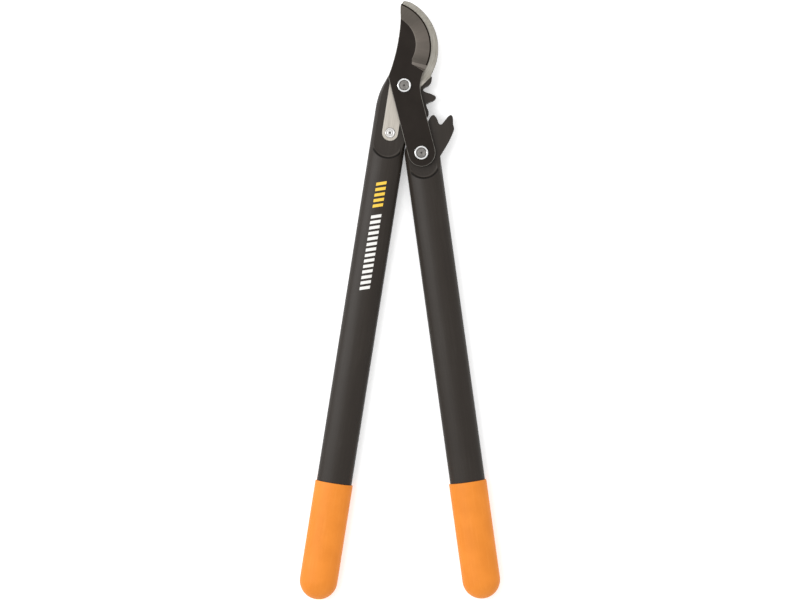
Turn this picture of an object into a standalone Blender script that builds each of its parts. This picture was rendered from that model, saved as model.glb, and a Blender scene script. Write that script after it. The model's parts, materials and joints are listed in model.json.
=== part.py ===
"""Geared bypass lopper: two hollow moulded handles with orange grips, a hook, a blade and a gear pair.

The tool lies flat.  +Y runs from the grips to the blade tip, +Z is the blade side, +X is to the
right as seen from the blade side.  Plan shapes are drawn about the blade pivot (A), or about the
gear pivot (B) for the right handle.  At the end the whole tool is moved so that the centre of
its box's bottom face is the origin.
"""

import math

import bmesh
import bpy
import numpy as np
from mathutils import Vector

MM = 0.001

# --- driving dimensions: plan ------------------------------------------------------------------
PIVOT_SPACING = 80.0 * MM        # from the blade pivot A to the gear pivot B
STRAP_ANGLE = 14.3               # degrees that B lies to the right of straight below A
LEFT_TILT = -9.0                 # degrees, left tube leans out to the left
RIGHT_TILT = 7.9                 # degrees, right tube leans out to the right
RIGHT_OFFSET = 1.0 * MM          # right tube's centre line, sideways from pivot B
HANDLE_GAP = 0.25 * MM           # between the handles where they meet when closed
LEFT_GRIP_START = 465.0 * MM     # along the left tube, from A's foot to the grip's open edge
RIGHT_GRIP_START = 383.0 * MM    # along the right tube, from B's foot to the grip's open edge
GRIP_LENGTH = 136.4 * MM

# --- driving dimensions: tubes and grips -------------------------------------------------------
TUBE_WIDTH = 40.7 * MM
TUBE_DEPTH = 24.0 * MM
NECK_STEP = 1.7 * MM             # tube's outside steps in by this under the grip
NECK_WALL = 3.0 * MM
GRIP_PROUD = 1.5 * MM            # grip stands this far out of the tube all round
GRIP_FIT = 0.3 * MM              # clearance between neck and grip
GRIP_ROUND = 22.0 * MM           # length of the grip's rounded end
LEFT_SHOULDER = 85.8 * MM        # along the tube to the lowest point of the left scallop
RIGHT_SHOULDER = 29.7 * MM
SHOULDER_RADIUS = 19.0 * MM      # the scallop where the oval tube meets the flat head
SHOULDER_COVE = 4.2 * MM         # the scallop's wall curves up out of the flat over this
HEAD_THICKNESS = 14.6 * MM       # flat heads that carry the gear teeth
HEAD_SUNK = 0.02 * MM            # keeps the tube's skin from lying exactly on the head's

# --- driving dimensions: gears -----------------------------------------------------------------
GEAR_RATIO = 0.85                # right handle's turn on the blade for each turn of the blade
OPEN_ANGLE = 55.0                # degrees that the blade opens from the hook
TOOTH_CLEARANCE = 0.35 * MM
TOOTH_EDGE = 0.7 * MM            # edge break on the teeth

# --- driving dimensions: steel -----------------------------------------------------------------
HOOK_THICKNESS = 4.5 * MM
HOOK_PROUD = 0.8 * MM            # hook's front above the head's flat
HOOK_FIT = 0.4 * MM              # pocket clearance round the hook
BLADE_THICKNESS = 4.5 * MM
CUTTING_LAND = 0.4 * MM          # blade's thickness left at the cutting edge
LINK_THICKNESS = 2.6 * MM
STEEL_EDGE = 0.5 * MM            # edge break on the steel plates
FACE_GAP = 0.2 * MM              # between faces that lie on each other
THRUST_WASHER = 0.6 * MM         # between the hook and the blade
REAR_WASHER = 0.8 * MM           # between the heads and the link plate

# --- driving dimensions: pivots and the hook's rivet -------------------------------------------
PIN_RADIUS = 5.0 * MM
PIN_FIT = 0.3 * MM               # clearance between a pin and its holes
BUSH_WALL = 2.2 * MM
BUSH_FIT = 0.2 * MM
PIVOT_HEAD_THICKNESS = 2.2 * MM
COLLAR_THICKNESS = 2.0 * MM
COLLAR_FLOOR = 0.7 * MM
COLLAR_WALL = 1.9 * MM
UPSET_STEP = 0.7 * MM            # pin's riveted end is wider than the pin by this all round
WASHER_LAND = 3.0 * MM           # washers reach this far past the bushes
RIVET_RADIUS = 2.6 * MM
RIVET_HEAD_LAND = 3.2 * MM       # rivet's head reaches this far past its shank
RIVET_HEAD_THICKNESS = 1.6 * MM
RIVET_HEAD_PROUD = 0.35 * MM
RIVET_WASHER_LAND = 4.0 * MM
RIVET_WASHER_THICKNESS = 1.0 * MM
RIVET_UPSET = 1.2 * MM           # rivet's closed end on the back washer
TANG_LENGTH = 56.0 * MM          # from pivot A's foot to the rivet, down the tang
TANG_SHIFT = 0.8 * MM            # tang's centre line, sideways from the left tube's
TANG_HALF_WIDTH = 9.6 * MM

# --- facets ------------------------------------------------------------------------------------
OVAL_SEGMENTS = 40
ROUND_SEGMENTS = 32
GEAR_STEP = 1.3 * MM             # spacing of points along the toothed outlines

# --- layers, from the back (z = 0) to the front ------------------------------------------------
GRIP_DEPTH = TUBE_DEPTH + 2.0 * GRIP_PROUD
MID = GRIP_DEPTH / 2.0
HEAD_BACK = MID - HEAD_THICKNESS / 2.0
HEAD_FRONT = MID + HEAD_THICKNESS / 2.0
HOOK_FRONT = HEAD_FRONT + HOOK_PROUD
HOOK_BACK = HOOK_FRONT - HOOK_THICKNESS
POCKET_FLOOR = HOOK_BACK - FACE_GAP
BLADE_BACK = HOOK_FRONT + 2.0 * FACE_GAP + THRUST_WASHER
BLADE_FRONT = BLADE_BACK + BLADE_THICKNESS
COLLAR_BACK = BLADE_FRONT + FACE_GAP
COLLAR_FRONT = COLLAR_BACK + COLLAR_THICKNESS
LINK_FRONT = HEAD_BACK - 2.0 * FACE_GAP - REAR_WASHER
LINK_BACK = LINK_FRONT - LINK_THICKNESS
PIN_HEAD_FRONT = LINK_BACK - FACE_GAP
PIN_HEAD_BACK = PIN_HEAD_FRONT - PIVOT_HEAD_THICKNESS

# --- sizes that follow ---------------------------------------------------------------------------
HOLE_RADIUS = PIN_RADIUS + PIN_FIT
BUSH_RADIUS = HOLE_RADIUS + BUSH_WALL
UPSET_RADIUS = PIN_RADIUS + UPSET_STEP
PIVOT_HEAD_RADIUS = UPSET_RADIUS + BUSH_FIT + COLLAR_WALL
WASHER_RADIUS = BUSH_RADIUS + WASHER_LAND
RIVET_HEAD_RADIUS = RIVET_RADIUS + RIVET_HEAD_LAND
RIVET_WASHER_RADIUS = RIVET_RADIUS + RIVET_WASHER_LAND

# the right handle's boss turns about B and just clears the left tube when the tool is closed
BOSS_RADIUS = TUBE_WIDTH / 2.0 - RIGHT_OFFSET
LEFT_OFFSET = (PIVOT_SPACING * math.sin(math.radians(STRAP_ANGLE - LEFT_TILT))
               - TUBE_WIDTH / 2.0 - BOSS_RADIUS - HANDLE_GAP)
TANG_OFFSET = LEFT_OFFSET + TANG_SHIFT
GEAR_UNIT = PIVOT_SPACING / 80.0  # the teeth are drawn for pivots 80 units apart


# --- plan geometry helpers ---------------------------------------------------------------------

def polar(radius, degrees, centre=(0.0, 0.0)):
    """Point at a radius and a direction, measured anticlockwise from +X."""
    angle = math.radians(degrees)
    return (centre[0] + radius * math.cos(angle), centre[1] + radius * math.sin(angle))


def arc(centre, radius, start, end, count):
    """Points on an arc from start to end degrees, both ends included."""
    return [polar(radius, angle, centre) for angle in np.linspace(start, end, count)]


def arc_through(start, middle, end, count):
    """Points on the arc that passes through three points."""
    ax, ay = start
    bx, by = middle
    cx, cy = end
    spread = 2.0 * (ax * (by - cy) + bx * (cy - ay) + cx * (ay - by))
    aa, bb, cc = ax * ax + ay * ay, bx * bx + by * by, cx * cx + cy * cy
    centre_x = (aa * (by - cy) + bb * (cy - ay) + cc * (ay - by)) / spread
    centre_y = (aa * (cx - bx) + bb * (ax - cx) + cc * (bx - ax)) / spread
    first = math.degrees(math.atan2(ay - centre_y, ax - centre_x))
    last = math.degrees(math.atan2(cy - centre_y, cx - centre_x))
    sweep = (last - first + 180.0) % 360.0 - 180.0
    radius = math.hypot(ax - centre_x, ay - centre_y)
    return arc((centre_x, centre_y), radius, first, first + sweep, count)


def smooth_through(points, step):
    """Points about one step apart on a smooth curve through the given points."""
    knots = np.array(points, dtype=float)
    ends = np.vstack([2.0 * knots[0] - knots[1], knots, 2.0 * knots[-1] - knots[-2]])
    curve = [knots[0]]
    for before, start, end, after in zip(ends, ends[1:], ends[2:], ends[3:]):
        count = max(1, round(float(np.linalg.norm(end - start)) / step))
        for t in np.arange(1, count + 1) / count:
            bend = (2.0 * start + (end - before) * t
                    + (2.0 * before - 5.0 * start + 4.0 * end - after) * t * t
                    + (3.0 * start - before - 3.0 * end + after) * t * t * t)
            curve.append(bend / 2.0)
    return [tuple(point) for point in curve]


def inset(outline, distance):
    """Anticlockwise outline moved inwards by a distance, or by one distance for each point."""
    ring = np.array(outline, dtype=float)
    arriving = ring - np.roll(ring, 1, axis=0)
    leaving = np.roll(ring, -1, axis=0) - ring
    arriving /= np.linalg.norm(arriving, axis=1)[:, None]
    leaving /= np.linalg.norm(leaving, axis=1)[:, None]
    inward_a = np.column_stack([-arriving[:, 1], arriving[:, 0]])
    inward_b = np.column_stack([-leaving[:, 1], leaving[:, 0]])
    alignment = np.maximum(1.0 + np.sum(inward_a * inward_b, axis=1), 0.6)
    mitre = (inward_a + inward_b) / alignment[:, None]
    return ring + mitre * np.broadcast_to(distance, len(ring))[:, None]


def down(tilt):
    """Unit direction from the pivots towards the grips for a tube that leans by tilt degrees."""
    return (math.sin(math.radians(tilt)), -math.cos(math.radians(tilt)))


def on_tube(tilt, offset, along, across=0.0):
    """Plan point on a tube, along it from the pivot's foot and across it to the right."""
    dx, dy = down(tilt)
    return (along * dx - (offset + across) * dy, along * dy + (offset + across) * dx)


PIVOT_B = polar(PIVOT_SPACING, STRAP_ANGLE - 90.0)
RIVET_AT = on_tube(LEFT_TILT, TANG_OFFSET, TANG_LENGTH)


# --- scene helpers -----------------------------------------------------------------------------

def clear_scene():
    for item in list(bpy.data.objects):
        bpy.data.objects.remove(item, do_unlink=True)


def material(name, color, roughness, metallic):
    made = bpy.data.materials.new(name)
    made.use_nodes = True
    shader = made.node_tree.nodes["Principled BSDF"]
    shader.inputs["Base Color"].default_value = (*color, 1.0)
    shader.inputs["Roughness"].default_value = roughness
    shader.inputs["Metallic"].default_value = metallic
    return made


def add_empty(name, location, parent=None):
    empty = bpy.data.objects.new(name, None)
    empty.location = (*location, 0.0)
    empty.parent = parent
    bpy.context.scene.collection.objects.link(empty)
    return empty


def add_piece(name, shape, finish, parent):
    """Turn a bmesh into a named, shaded object under its parent empty."""
    bmesh.ops.remove_doubles(shape, verts=shape.verts, dist=1e-6)
    bmesh.ops.recalc_face_normals(shape, faces=shape.faces)
    mesh = bpy.data.meshes.new(name)
    shape.to_mesh(mesh)
    shape.free()
    mesh.shade_smooth()
    mesh.set_sharp_from_angle(angle=math.radians(30.0))
    mesh.materials.append(finish)
    piece = bpy.data.objects.new(name, mesh)
    piece.parent = parent
    bpy.context.scene.collection.objects.link(piece)
    return piece


def combine(piece, name, shape, operation):
    """Join a shape to a piece, or cut it out, with a hidden helper object."""
    helper = add_piece(name, shape, piece.data.materials[0], piece.parent)
    helper.hide_render = True
    helper.display_type = "WIRE"
    step = piece.modifiers.new(name, "BOOLEAN")
    step.operation = operation
    step.object = helper


# --- solid helpers -----------------------------------------------------------------------------

def ring_stack(rings):
    """Closed solid through rings of the same number of points, capped at both ends."""
    shape = bmesh.new()
    layers = [[shape.verts.new(point) for point in ring] for ring in rings]
    for lower, upper in zip(layers, layers[1:]):
        for i in range(len(lower)):
            j = (i + 1) % len(lower)
            shape.faces.new((lower[i], lower[j], upper[j], upper[i]))
    shape.faces.new(list(reversed(layers[0])))
    shape.faces.new(layers[-1])
    return shape


def at_height(outline, z):
    return [(x, y, z) for x, y in outline]


def plate(outline, back, front, edge):
    """Flat plate with its front and back edges broken."""
    trimmed = inset(outline, edge)
    return ring_stack([
        at_height(trimmed, back),
        at_height(outline, back + edge),
        at_height(outline, front - edge),
        at_height(trimmed, front),
    ])


def prism(outline, back, front):
    return ring_stack([at_height(outline, back), at_height(outline, front)])


def drill(centre, radius, back, front):
    return prism(arc(centre, radius, 0.0, 360.0, ROUND_SEGMENTS + 1)[:-1], back, front)


def turned(profile, centre, has_hole):
    """Turned piece from (radius, z) points; a piece with a hole has a closed profile."""
    shape = bmesh.new()
    verts = [shape.verts.new((radius, 0.0, z)) for radius, z in profile]
    edges = [shape.edges.new(pair) for pair in zip(verts, verts[1:])]
    if has_hole:
        edges.append(shape.edges.new((verts[-1], verts[0])))
    bmesh.ops.spin(shape, geom=verts + edges, cent=(0, 0, 0), axis=(0, 0, 1),
                   angle=2.0 * math.pi, steps=ROUND_SEGMENTS)
    bmesh.ops.remove_doubles(shape, verts=shape.verts, dist=1e-7)
    bmesh.ops.translate(shape, verts=shape.verts, vec=(*centre, 0.0))
    return shape


def flat_ring(inner, outer, back, front):
    """Profile of a washer or a sleeve."""
    return [(inner, back), (outer, back), (outer, front), (inner, front)]


def oval_ring(tilt, offset, along, half_width, half_depth):
    """Oval cross-section of a tube, square to its centre line."""
    ring = []
    for k in range(OVAL_SEGMENTS):
        turn = 2.0 * math.pi * k / OVAL_SEGMENTS
        x, y = on_tube(tilt, offset, along, half_width * math.cos(turn))
        ring.append((x, y, MID + half_depth * math.sin(turn)))
    return ring


# --- handles -----------------------------------------------------------------------------------

def tube(tilt, offset, top, grip_start):
    """Hollow oval tube: its outside, the neck under the grip, and the bore open at the end."""
    half_width, half_depth = TUBE_WIDTH / 2.0, TUBE_DEPTH / 2.0
    neck = (half_width - NECK_STEP, half_depth - NECK_STEP)
    tip = (neck[0] - TOOTH_EDGE, neck[1] - TOOTH_EDGE)
    bore = (neck[0] - NECK_WALL, neck[1] - NECK_WALL)
    neck_end = grip_start + GRIP_LENGTH - GRIP_ROUND - 2.0 * MM
    bore_top = top["shoulder"] + 12.0 * MM
    stations = [
        (top["start"], half_width, half_depth),
        (grip_start - GRIP_FIT, half_width, half_depth),
        (grip_start - GRIP_FIT, *neck),
        (neck_end - TOOTH_EDGE, *neck),
        (neck_end, *tip),
        (neck_end, *bore),
        (bore_top + 6.0 * MM, *bore),
        (bore_top, bore[0] * 0.6, bore[1] * 0.6),
    ]
    return ring_stack([oval_ring(tilt, offset, *station) for station in stations])


def scallop_cutter(tilt, offset, top, side):
    """Takes the crown off the tube down to the head's flat; side is 1 in front and -1 behind."""
    middle = top["shoulder"] - SHOULDER_RADIUS
    centre = on_tube(tilt, offset, middle)
    facing = tilt - 90.0
    reach = TUBE_WIDTH
    wings = [on_tube(tilt, offset, middle, reach), on_tube(tilt, offset, -reach, reach),
             on_tube(tilt, offset, -reach, -reach), on_tube(tilt, offset, middle, -reach)]
    flat = HEAD_THICKNESS / 2.0 - HEAD_SUNK
    crown = TUBE_DEPTH / 2.0
    # the wall is a cove: level with the flat at its foot and upright at the crown
    wall = [(SHOULDER_RADIUS - SHOULDER_COVE * (1.0 - math.sin(turn)),
             crown - (crown - flat) * math.cos(turn)) for turn in np.linspace(0, math.pi / 2, 6)]
    wall.append((SHOULDER_RADIUS, crown + 1.0 * MM))
    rings = []
    for radius, height in wall:
        bowl = arc(centre, radius, facing - 75.0, facing + 75.0, 17)
        rings.append(at_height(bowl + wings, MID + side * height))
    return ring_stack(rings)


def head(outline, roundness):
    """Flat head whose edge is the tube's own oval where roundness is 1 and crisp where it is 0."""
    half_width, half_depth = TUBE_WIDTH / 2.0, TUBE_DEPTH / 2.0
    half_head = HEAD_THICKNESS / 2.0
    step = 2.0 * math.pi / OVAL_SEGMENTS
    inner = int(math.asin(half_head / half_depth) / step)
    heights = [half_depth * math.sin(k * step) for k in range(-inner, inner + 1)]
    heights = [-half_head] + heights + [half_head]
    rings = []
    for height in heights:
        oval = half_width * (1.0 - math.sqrt(1.0 - (height / half_depth) ** 2))
        crisp = TOOTH_EDGE if abs(height) == half_head else 0.0
        distance = roundness * oval + (1.0 - roundness) * crisp
        rings.append(at_height(inset(outline, distance), MID + height))
    return ring_stack(rings)


# Outline of the right handle's teeth about B: degrees clockwise from the direction of A, and
# radius in gear units.  Three teeth and the shoulder that runs back to the tube.
RIGHT_TEETH = (
    (-20, 20.2), (-11, 25.5), (-3, 28.5), (4, 36.0),
    (9.5, 41.0), (14.5, 37.5), (21.5, 31.3), (26.2, 37.6), (28.4, 43.2),
    (31.9, 46.3), (37.5, 44.4), (42.8, 40.8), (46.6, 39.4), (49.8, 41.4), (50.1, 47.5),
    (50.9, 54.0), (53.3, 56.1), (57.0, 53.9), (62.0, 49.6), (68.1, 46.9),
    (74.2, 40.6), (82.4, 33.8), (96.7, 26.2), (108.0, 22.9),
)

# Outline of the left handle's teeth about A: degrees anticlockwise from the direction of B.
LEFT_TEETH = (
    (-8.6, 47.5), (-3, 46.5), (4, 42.5), (9.5, 38.0), (14, 43.5),
    (18, 47.5), (23, 45.2), (29, 41.5), (32, 36.5), (36.8, 32.9), (42.7, 34.8), (49, 37.8),
    (55, 39.2), (58.2, 37.0), (59.3, 32.5), (59.3, 27.0), (61.5, 23.3),
    (66.4, 22.3), (72.7, 24.4), (76.8, 28.0), (84.0, 31.5), (93.0, 33.7),
)


def right_teeth():
    """Right teeth about B, from under the strap round to the tube's right edge."""
    knots = [polar(radius * GEAR_UNIT, STRAP_ANGLE + 90.0 - angle)
             for angle, radius in RIGHT_TEETH]
    return smooth_through(knots, GEAR_STEP)


def swept_limit(teeth):
    """Radius about A that the right teeth leave free, for each direction, over the whole travel."""
    fine = np.array(smooth_through(teeth, 0.2 * MM))
    limit = np.full(1440, np.inf)
    for opened in np.arange(0.0, OPEN_ANGLE + 0.01, 0.25):
        turned_by = math.radians(opened * GEAR_RATIO)
        spin = np.array([[math.cos(turned_by), -math.sin(turned_by)],
                         [math.sin(turned_by), math.cos(turned_by)]])
        placed = fine @ spin.T + np.array(PIVOT_B)
        radius = np.hypot(placed[:, 0], placed[:, 1])
        facing = np.degrees(np.arctan2(placed[:, 1], placed[:, 0])) + opened
        np.minimum.at(limit, np.round(facing * 4.0).astype(int) % 1440, radius)
    return limit


def left_teeth():
    """Left teeth about A, cut back wherever a right tooth would touch them on its way past."""
    knots = [polar(radius * GEAR_UNIT, STRAP_ANGLE - 90.0 + angle)
             for angle, radius in LEFT_TEETH]
    nominal = smooth_through(knots, GEAR_STEP)
    limit = swept_limit(right_teeth())
    outline = []
    for x, y in nominal:
        facing = math.degrees(math.atan2(y, x))
        nearest = round(facing * 4.0)
        free = min(limit[(nearest + k) % 1440] for k in range(-2, 3))
        radius = min(math.hypot(x, y), free - TOOTH_CLEARANCE)
        outline.append(polar(radius, facing))
    return outline


def without_crowding(outline, weights, least):
    """Drop points that lie closer than least to the one before."""
    kept, kept_weights = [outline[0]], [weights[0]]
    for point, weight in zip(outline[1:], weights[1:]):
        if math.dist(point, kept[-1]) >= least and math.dist(point, kept[0]) >= least:
            kept.append(point)
            kept_weights.append(weight)
    return kept, np.array(kept_weights)


def edge_line(tilt, offset, start, end, side, count):
    """Points down one straight edge of a tube; side is -1 for the left, 1 for the right."""
    half = TUBE_WIDTH / 2.0 - HEAD_SUNK
    return [on_tube(tilt, offset, along, side * half) for along in np.linspace(start, end, count)]


# How round a tube's edge still is at the five points where it runs up to the teeth.
FADE_TO_TEETH = [1.0, 0.95, 0.65, 0.25, 0.0]


def beyond_tube(points, tilt, offset):
    """Points from the first one on that stands out past the tube's right edge."""
    dx, dy = down(tilt)
    for first, (x, y) in enumerate(points):
        if y * dx - x * dy > offset + TUBE_WIDTH / 2.0:
            return points[first:]
    return points


def left_head_outline():
    """Left head, anticlockwise from the foot of its right edge."""
    low = LEFT_SHOULDER + 3.0 * MM
    teeth = beyond_tube(left_teeth(), LEFT_TILT, LEFT_OFFSET)
    right_edge = edge_line(LEFT_TILT, LEFT_OFFSET, low, 52.0 * GEAR_UNIT, 1.0, 5)
    bridge = [(27.0 * GEAR_UNIT, 15.0 * GEAR_UNIT), (20.5 * MM, 17.0 * MM)]
    crown = arc((0.0, 0.0), 22.2 * MM, 46.0, 156.0, 12)
    left_edge = edge_line(LEFT_TILT, LEFT_OFFSET, 25.0 * MM, low, -1.0, 4)
    swell = [on_tube(LEFT_TILT, LEFT_OFFSET, along, 0.4 * MM * bow - TUBE_WIDTH / 2.0)
             for along, bow in ((5.3 * MM, 8.0), (16.0 * MM, 2.3))]
    cheek = smooth_through([crown[-1]] + swell + [left_edge[0]], 5.0 * MM)[1:-1]
    outline = right_edge + teeth + bridge + crown + cheek + left_edge
    weights = (FADE_TO_TEETH + [0.0] * (len(teeth) + len(bridge))
               + list(np.linspace(0.0, 0.3, len(crown)))
               + list(np.linspace(0.45, 1.0, len(cheek))) + [1.0] * len(left_edge))
    return without_crowding(outline, weights, 0.5 * MM)


def right_head_outline():
    """Right head about B, anticlockwise from the foot of its right edge."""
    low = RIGHT_SHOULDER + 3.0 * MM
    teeth = list(reversed(right_teeth()))
    right_edge = edge_line(RIGHT_TILT, RIGHT_OFFSET, low, 6.0 * GEAR_UNIT, 1.0, 5)
    boss = arc((0.0, 0.0), BOSS_RADIUS - HEAD_SUNK, STRAP_ANGLE + 117.0, RIGHT_TILT + 180.0, 12)
    left_edge = edge_line(RIGHT_TILT, RIGHT_OFFSET, 5.0 * MM, low, -1.0, 4)
    outline = right_edge + teeth + boss + left_edge
    weights = (FADE_TO_TEETH + [0.0] * len(teeth)
               + list(np.linspace(0.0, 1.0, len(boss))) + [1.0] * len(left_edge))
    return without_crowding(outline, weights, 0.5 * MM)


def make_handle(name, finish, parent, tilt, offset, top, grip_start, outline, roundness):
    """One moulding: hollow tube, scalloped shoulder and flat toothed head."""
    handle = add_piece(name, tube(tilt, offset, top, grip_start), finish, parent)
    for side, place in ((1.0, "_front"), (-1.0, "_back")):
        combine(handle, name + place + "_scallop", scallop_cutter(tilt, offset, top, side),
                "DIFFERENCE")
    combine(handle, name + "_head", head(outline, roundness), "UNION")
    bore = drill((0.0, 0.0), BUSH_RADIUS + BUSH_FIT, 0.0, 2.0 * MID)
    combine(handle, name + "_pivot_bore", bore, "DIFFERENCE")
    return handle


def make_left_handle(finish, parent):
    top = {"start": 50.0 * MM, "shoulder": LEFT_SHOULDER}
    outline, roundness = left_head_outline()
    handle = make_handle("left_handle", finish, parent, LEFT_TILT, LEFT_OFFSET, top,
                         LEFT_GRIP_START, outline, roundness)
    pocket = prism(inset(hook_outline(), -HOOK_FIT), POCKET_FLOOR, HEAD_FRONT + 5.0 * MM)
    combine(handle, "hook_pocket", pocket, "DIFFERENCE")
    shank = drill(RIVET_AT, RIVET_RADIUS + PIN_FIT, 0.0, 2.0 * MID)
    combine(handle, "hook_rivet_hole", shank, "DIFFERENCE")
    seat = drill(RIVET_AT, RIVET_WASHER_RADIUS + PIN_FIT, 0.0, rivet_seat())
    combine(handle, "hook_rivet_seat", seat, "DIFFERENCE")


def make_right_handle(finish, parent):
    top = {"start": 8.0 * MM, "shoulder": RIGHT_SHOULDER}
    outline, roundness = right_head_outline()
    make_handle("right_handle", finish, parent, RIGHT_TILT, RIGHT_OFFSET, top,
                RIGHT_GRIP_START, outline, roundness)


def make_grip(name, finish, parent, tilt, offset, start):
    """Moulded cup over the tube's neck, closed by a round end."""
    outer = (TUBE_WIDTH / 2.0 + GRIP_PROUD, TUBE_DEPTH / 2.0 + GRIP_PROUD)
    inner = (TUBE_WIDTH / 2.0 - NECK_STEP + GRIP_FIT, TUBE_DEPTH / 2.0 - NECK_STEP + GRIP_FIT)
    lip = 0.6 * MM
    round_start = start + GRIP_LENGTH - GRIP_ROUND
    stations = [
        (round_start - 1.0 * MM, *inner),
        (start, *inner),
        (start, outer[0] - lip, outer[1] - lip),
        (start + lip, *outer),
    ]
    for turn in np.radians(np.linspace(0.0, 84.0, 9)):
        stations.append((round_start + GRIP_ROUND * math.sin(turn),
                         outer[0] * math.cos(turn), outer[1] * math.cos(turn)))
    shape = ring_stack([oval_ring(tilt, offset, *station) for station in stations])
    add_piece(name, shape, finish, parent)


# --- hook and blade ----------------------------------------------------------------------------

def hook_outline():
    """Hook about A, anticlockwise: outer arc, tip, throat, boss, tang and heel."""
    outer = arc((-21.4 * MM, 43.0 * MM), 60.7 * MM, -29.7, 61.0, 24)
    tip = [(4.2 * MM, 97.3 * MM), (0.9 * MM, 97.9 * MM), (-0.6 * MM, 97.6 * MM),
           (-1.6 * MM, 96.7 * MM), (-2.3 * MM, 95.2 * MM)]
    throat = arc((-26.0 * MM, 48.0 * MM), 50.0 * MM, 62.0, -39.0, 18)
    boss = arc((0.0, 0.0), 20.5 * MM, 58.0, 153.0, 10)
    tang_start = on_tube(LEFT_TILT, TANG_OFFSET, -1.0 * MM, -TANG_HALF_WIDTH)
    facing = LEFT_TILT - 90.0
    tang_end = arc(RIVET_AT, TANG_HALF_WIDTH, facing - 90.0, facing + 90.0, 13)
    armpit = arc((0.0, 0.0), 19.3 * MM, -92.0, -4.0, 8)
    heel = [(29.6 * MM, 8.7 * MM), (30.8 * MM, 9.9 * MM), (31.2 * MM, 11.3 * MM)]
    return outer + tip + throat + boss + [tang_start] + tang_end + armpit + heel


def rivet_seat():
    """Height of the shoulder under the rivet's back washer, in the left head."""
    return HEAD_BACK + RIVET_WASHER_THICKNESS + FACE_GAP


def make_hook(finish, parent):
    hook = add_piece("hook", plate(hook_outline(), HOOK_BACK, HOOK_FRONT, STEEL_EDGE),
                     finish, parent)
    pivot = drill((0.0, 0.0), HOLE_RADIUS, HOOK_BACK - MM, HOOK_FRONT + MM)
    combine(hook, "hook_pivot_hole", pivot, "DIFFERENCE")
    shank = drill(RIVET_AT, RIVET_RADIUS + PIN_FIT, HOOK_BACK - MM, HOOK_FRONT + MM)
    combine(hook, "tang_rivet_hole", shank, "DIFFERENCE")
    floor = HOOK_FRONT + RIVET_HEAD_PROUD - RIVET_HEAD_THICKNESS - FACE_GAP
    seat = drill(RIVET_AT, RIVET_HEAD_RADIUS + PIN_FIT, floor, HOOK_FRONT + MM)
    combine(hook, "tang_rivet_seat", seat, "DIFFERENCE")


def make_rivet(finish, washer_finish, parent):
    front = HOOK_FRONT + RIVET_HEAD_PROUD
    under = front - RIVET_HEAD_THICKNESS
    seat = rivet_seat()
    washer_back = seat - FACE_GAP - RIVET_WASHER_THICKNESS
    end = washer_back - FACE_GAP - RIVET_UPSET
    profile = [
        (0.0, front - 0.6 * MM), (0.9 * MM, front - 0.5 * MM), (1.1 * MM, front),
        (2.3 * MM, front), (2.6 * MM, front - 0.3 * MM),
        (RIVET_HEAD_RADIUS - 0.5 * MM, front - 0.15 * MM), (RIVET_HEAD_RADIUS, front - 0.5 * MM),
        (RIVET_HEAD_RADIUS, under), (RIVET_RADIUS, under),
        (RIVET_RADIUS, washer_back - FACE_GAP), (RIVET_RADIUS * 1.6, washer_back - FACE_GAP),
        (RIVET_RADIUS * 1.6, end + 0.4 * MM), (RIVET_RADIUS * 1.3, end), (0.0, end),
    ]
    add_piece("hook_rivet", turned(profile, RIVET_AT, False), finish, parent)
    profile = flat_ring(RIVET_RADIUS + PIN_FIT, RIVET_WASHER_RADIUS, washer_back, seat - FACE_GAP)
    add_piece("hook_rivet_washer", turned(profile, RIVET_AT, True), washer_finish, parent)


EDGE_CENTRE = (-22.0 * MM, 45.0 * MM)
EDGE_RADIUS = 53.0 * MM
GRIND_CENTRE = (-20.0 * MM, 47.0 * MM)
GRIND_RADIUS = 33.3 * MM
HEEL_INNER = [(8.8 * MM, 24.4 * MM), (8.9 * MM, 27.2 * MM)]


def ground_height(point):
    """Height of the ground bevel's surface above a plan point, between its two arcs."""
    reach = math.hypot(point[0] - EDGE_CENTRE[0], point[1] - EDGE_CENTRE[1])
    share = (EDGE_RADIUS - reach) / (EDGE_RADIUS - GRIND_RADIUS)
    rise = min(max(share, 0.0), 1.0) * (BLADE_THICKNESS - CUTTING_LAND)
    return BLADE_BACK + CUTTING_LAND + rise


def blade_sides():
    """Plan of the blade in four runs: cutting edge, ground back, back with strap, and waist."""
    cutting = arc(EDGE_CENTRE, EDGE_RADIUS, -29.3, 67.8, 20)
    tip = (-3.0 * MM, 94.7 * MM)
    grind_end = (-4.1 * MM, 76.3 * MM)
    ground_back = [tip, (-4.2 * MM, 92.3 * MM), (-4.3 * MM, 86.5 * MM), (-4.2 * MM, 81.0 * MM)]
    back = arc_through(grind_end, (-8.4 * MM, 43.8 * MM), (-18.2 * MM, 10.6 * MM), 14)
    left_half, right_half = 15.3 * MM, 16.2 * MM
    facing = STRAP_ANGLE - 90.0
    strap_end = [polar(left_half + (right_half - left_half) * share,
                       facing - 90.0 + 180.0 * share, PIVOT_B) for share in np.linspace(0, 1, 21)]
    waist = smooth_through([on_tube(STRAP_ANGLE, 0.0, 22.0 * MM, right_half),
                            (18.9 * MM, -7.0 * MM), (18.6 * MM, 2.0 * MM),
                            (20.2 * MM, 9.7 * MM), (22.4 * MM, 16.2 * MM)], 2.5 * MM)
    corner = [polar(left_half, facing - 90.0), (-18.3 * MM, 9.6 * MM)]
    return cutting, ground_back, back + corner[::-1] + strap_end, waist


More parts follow.
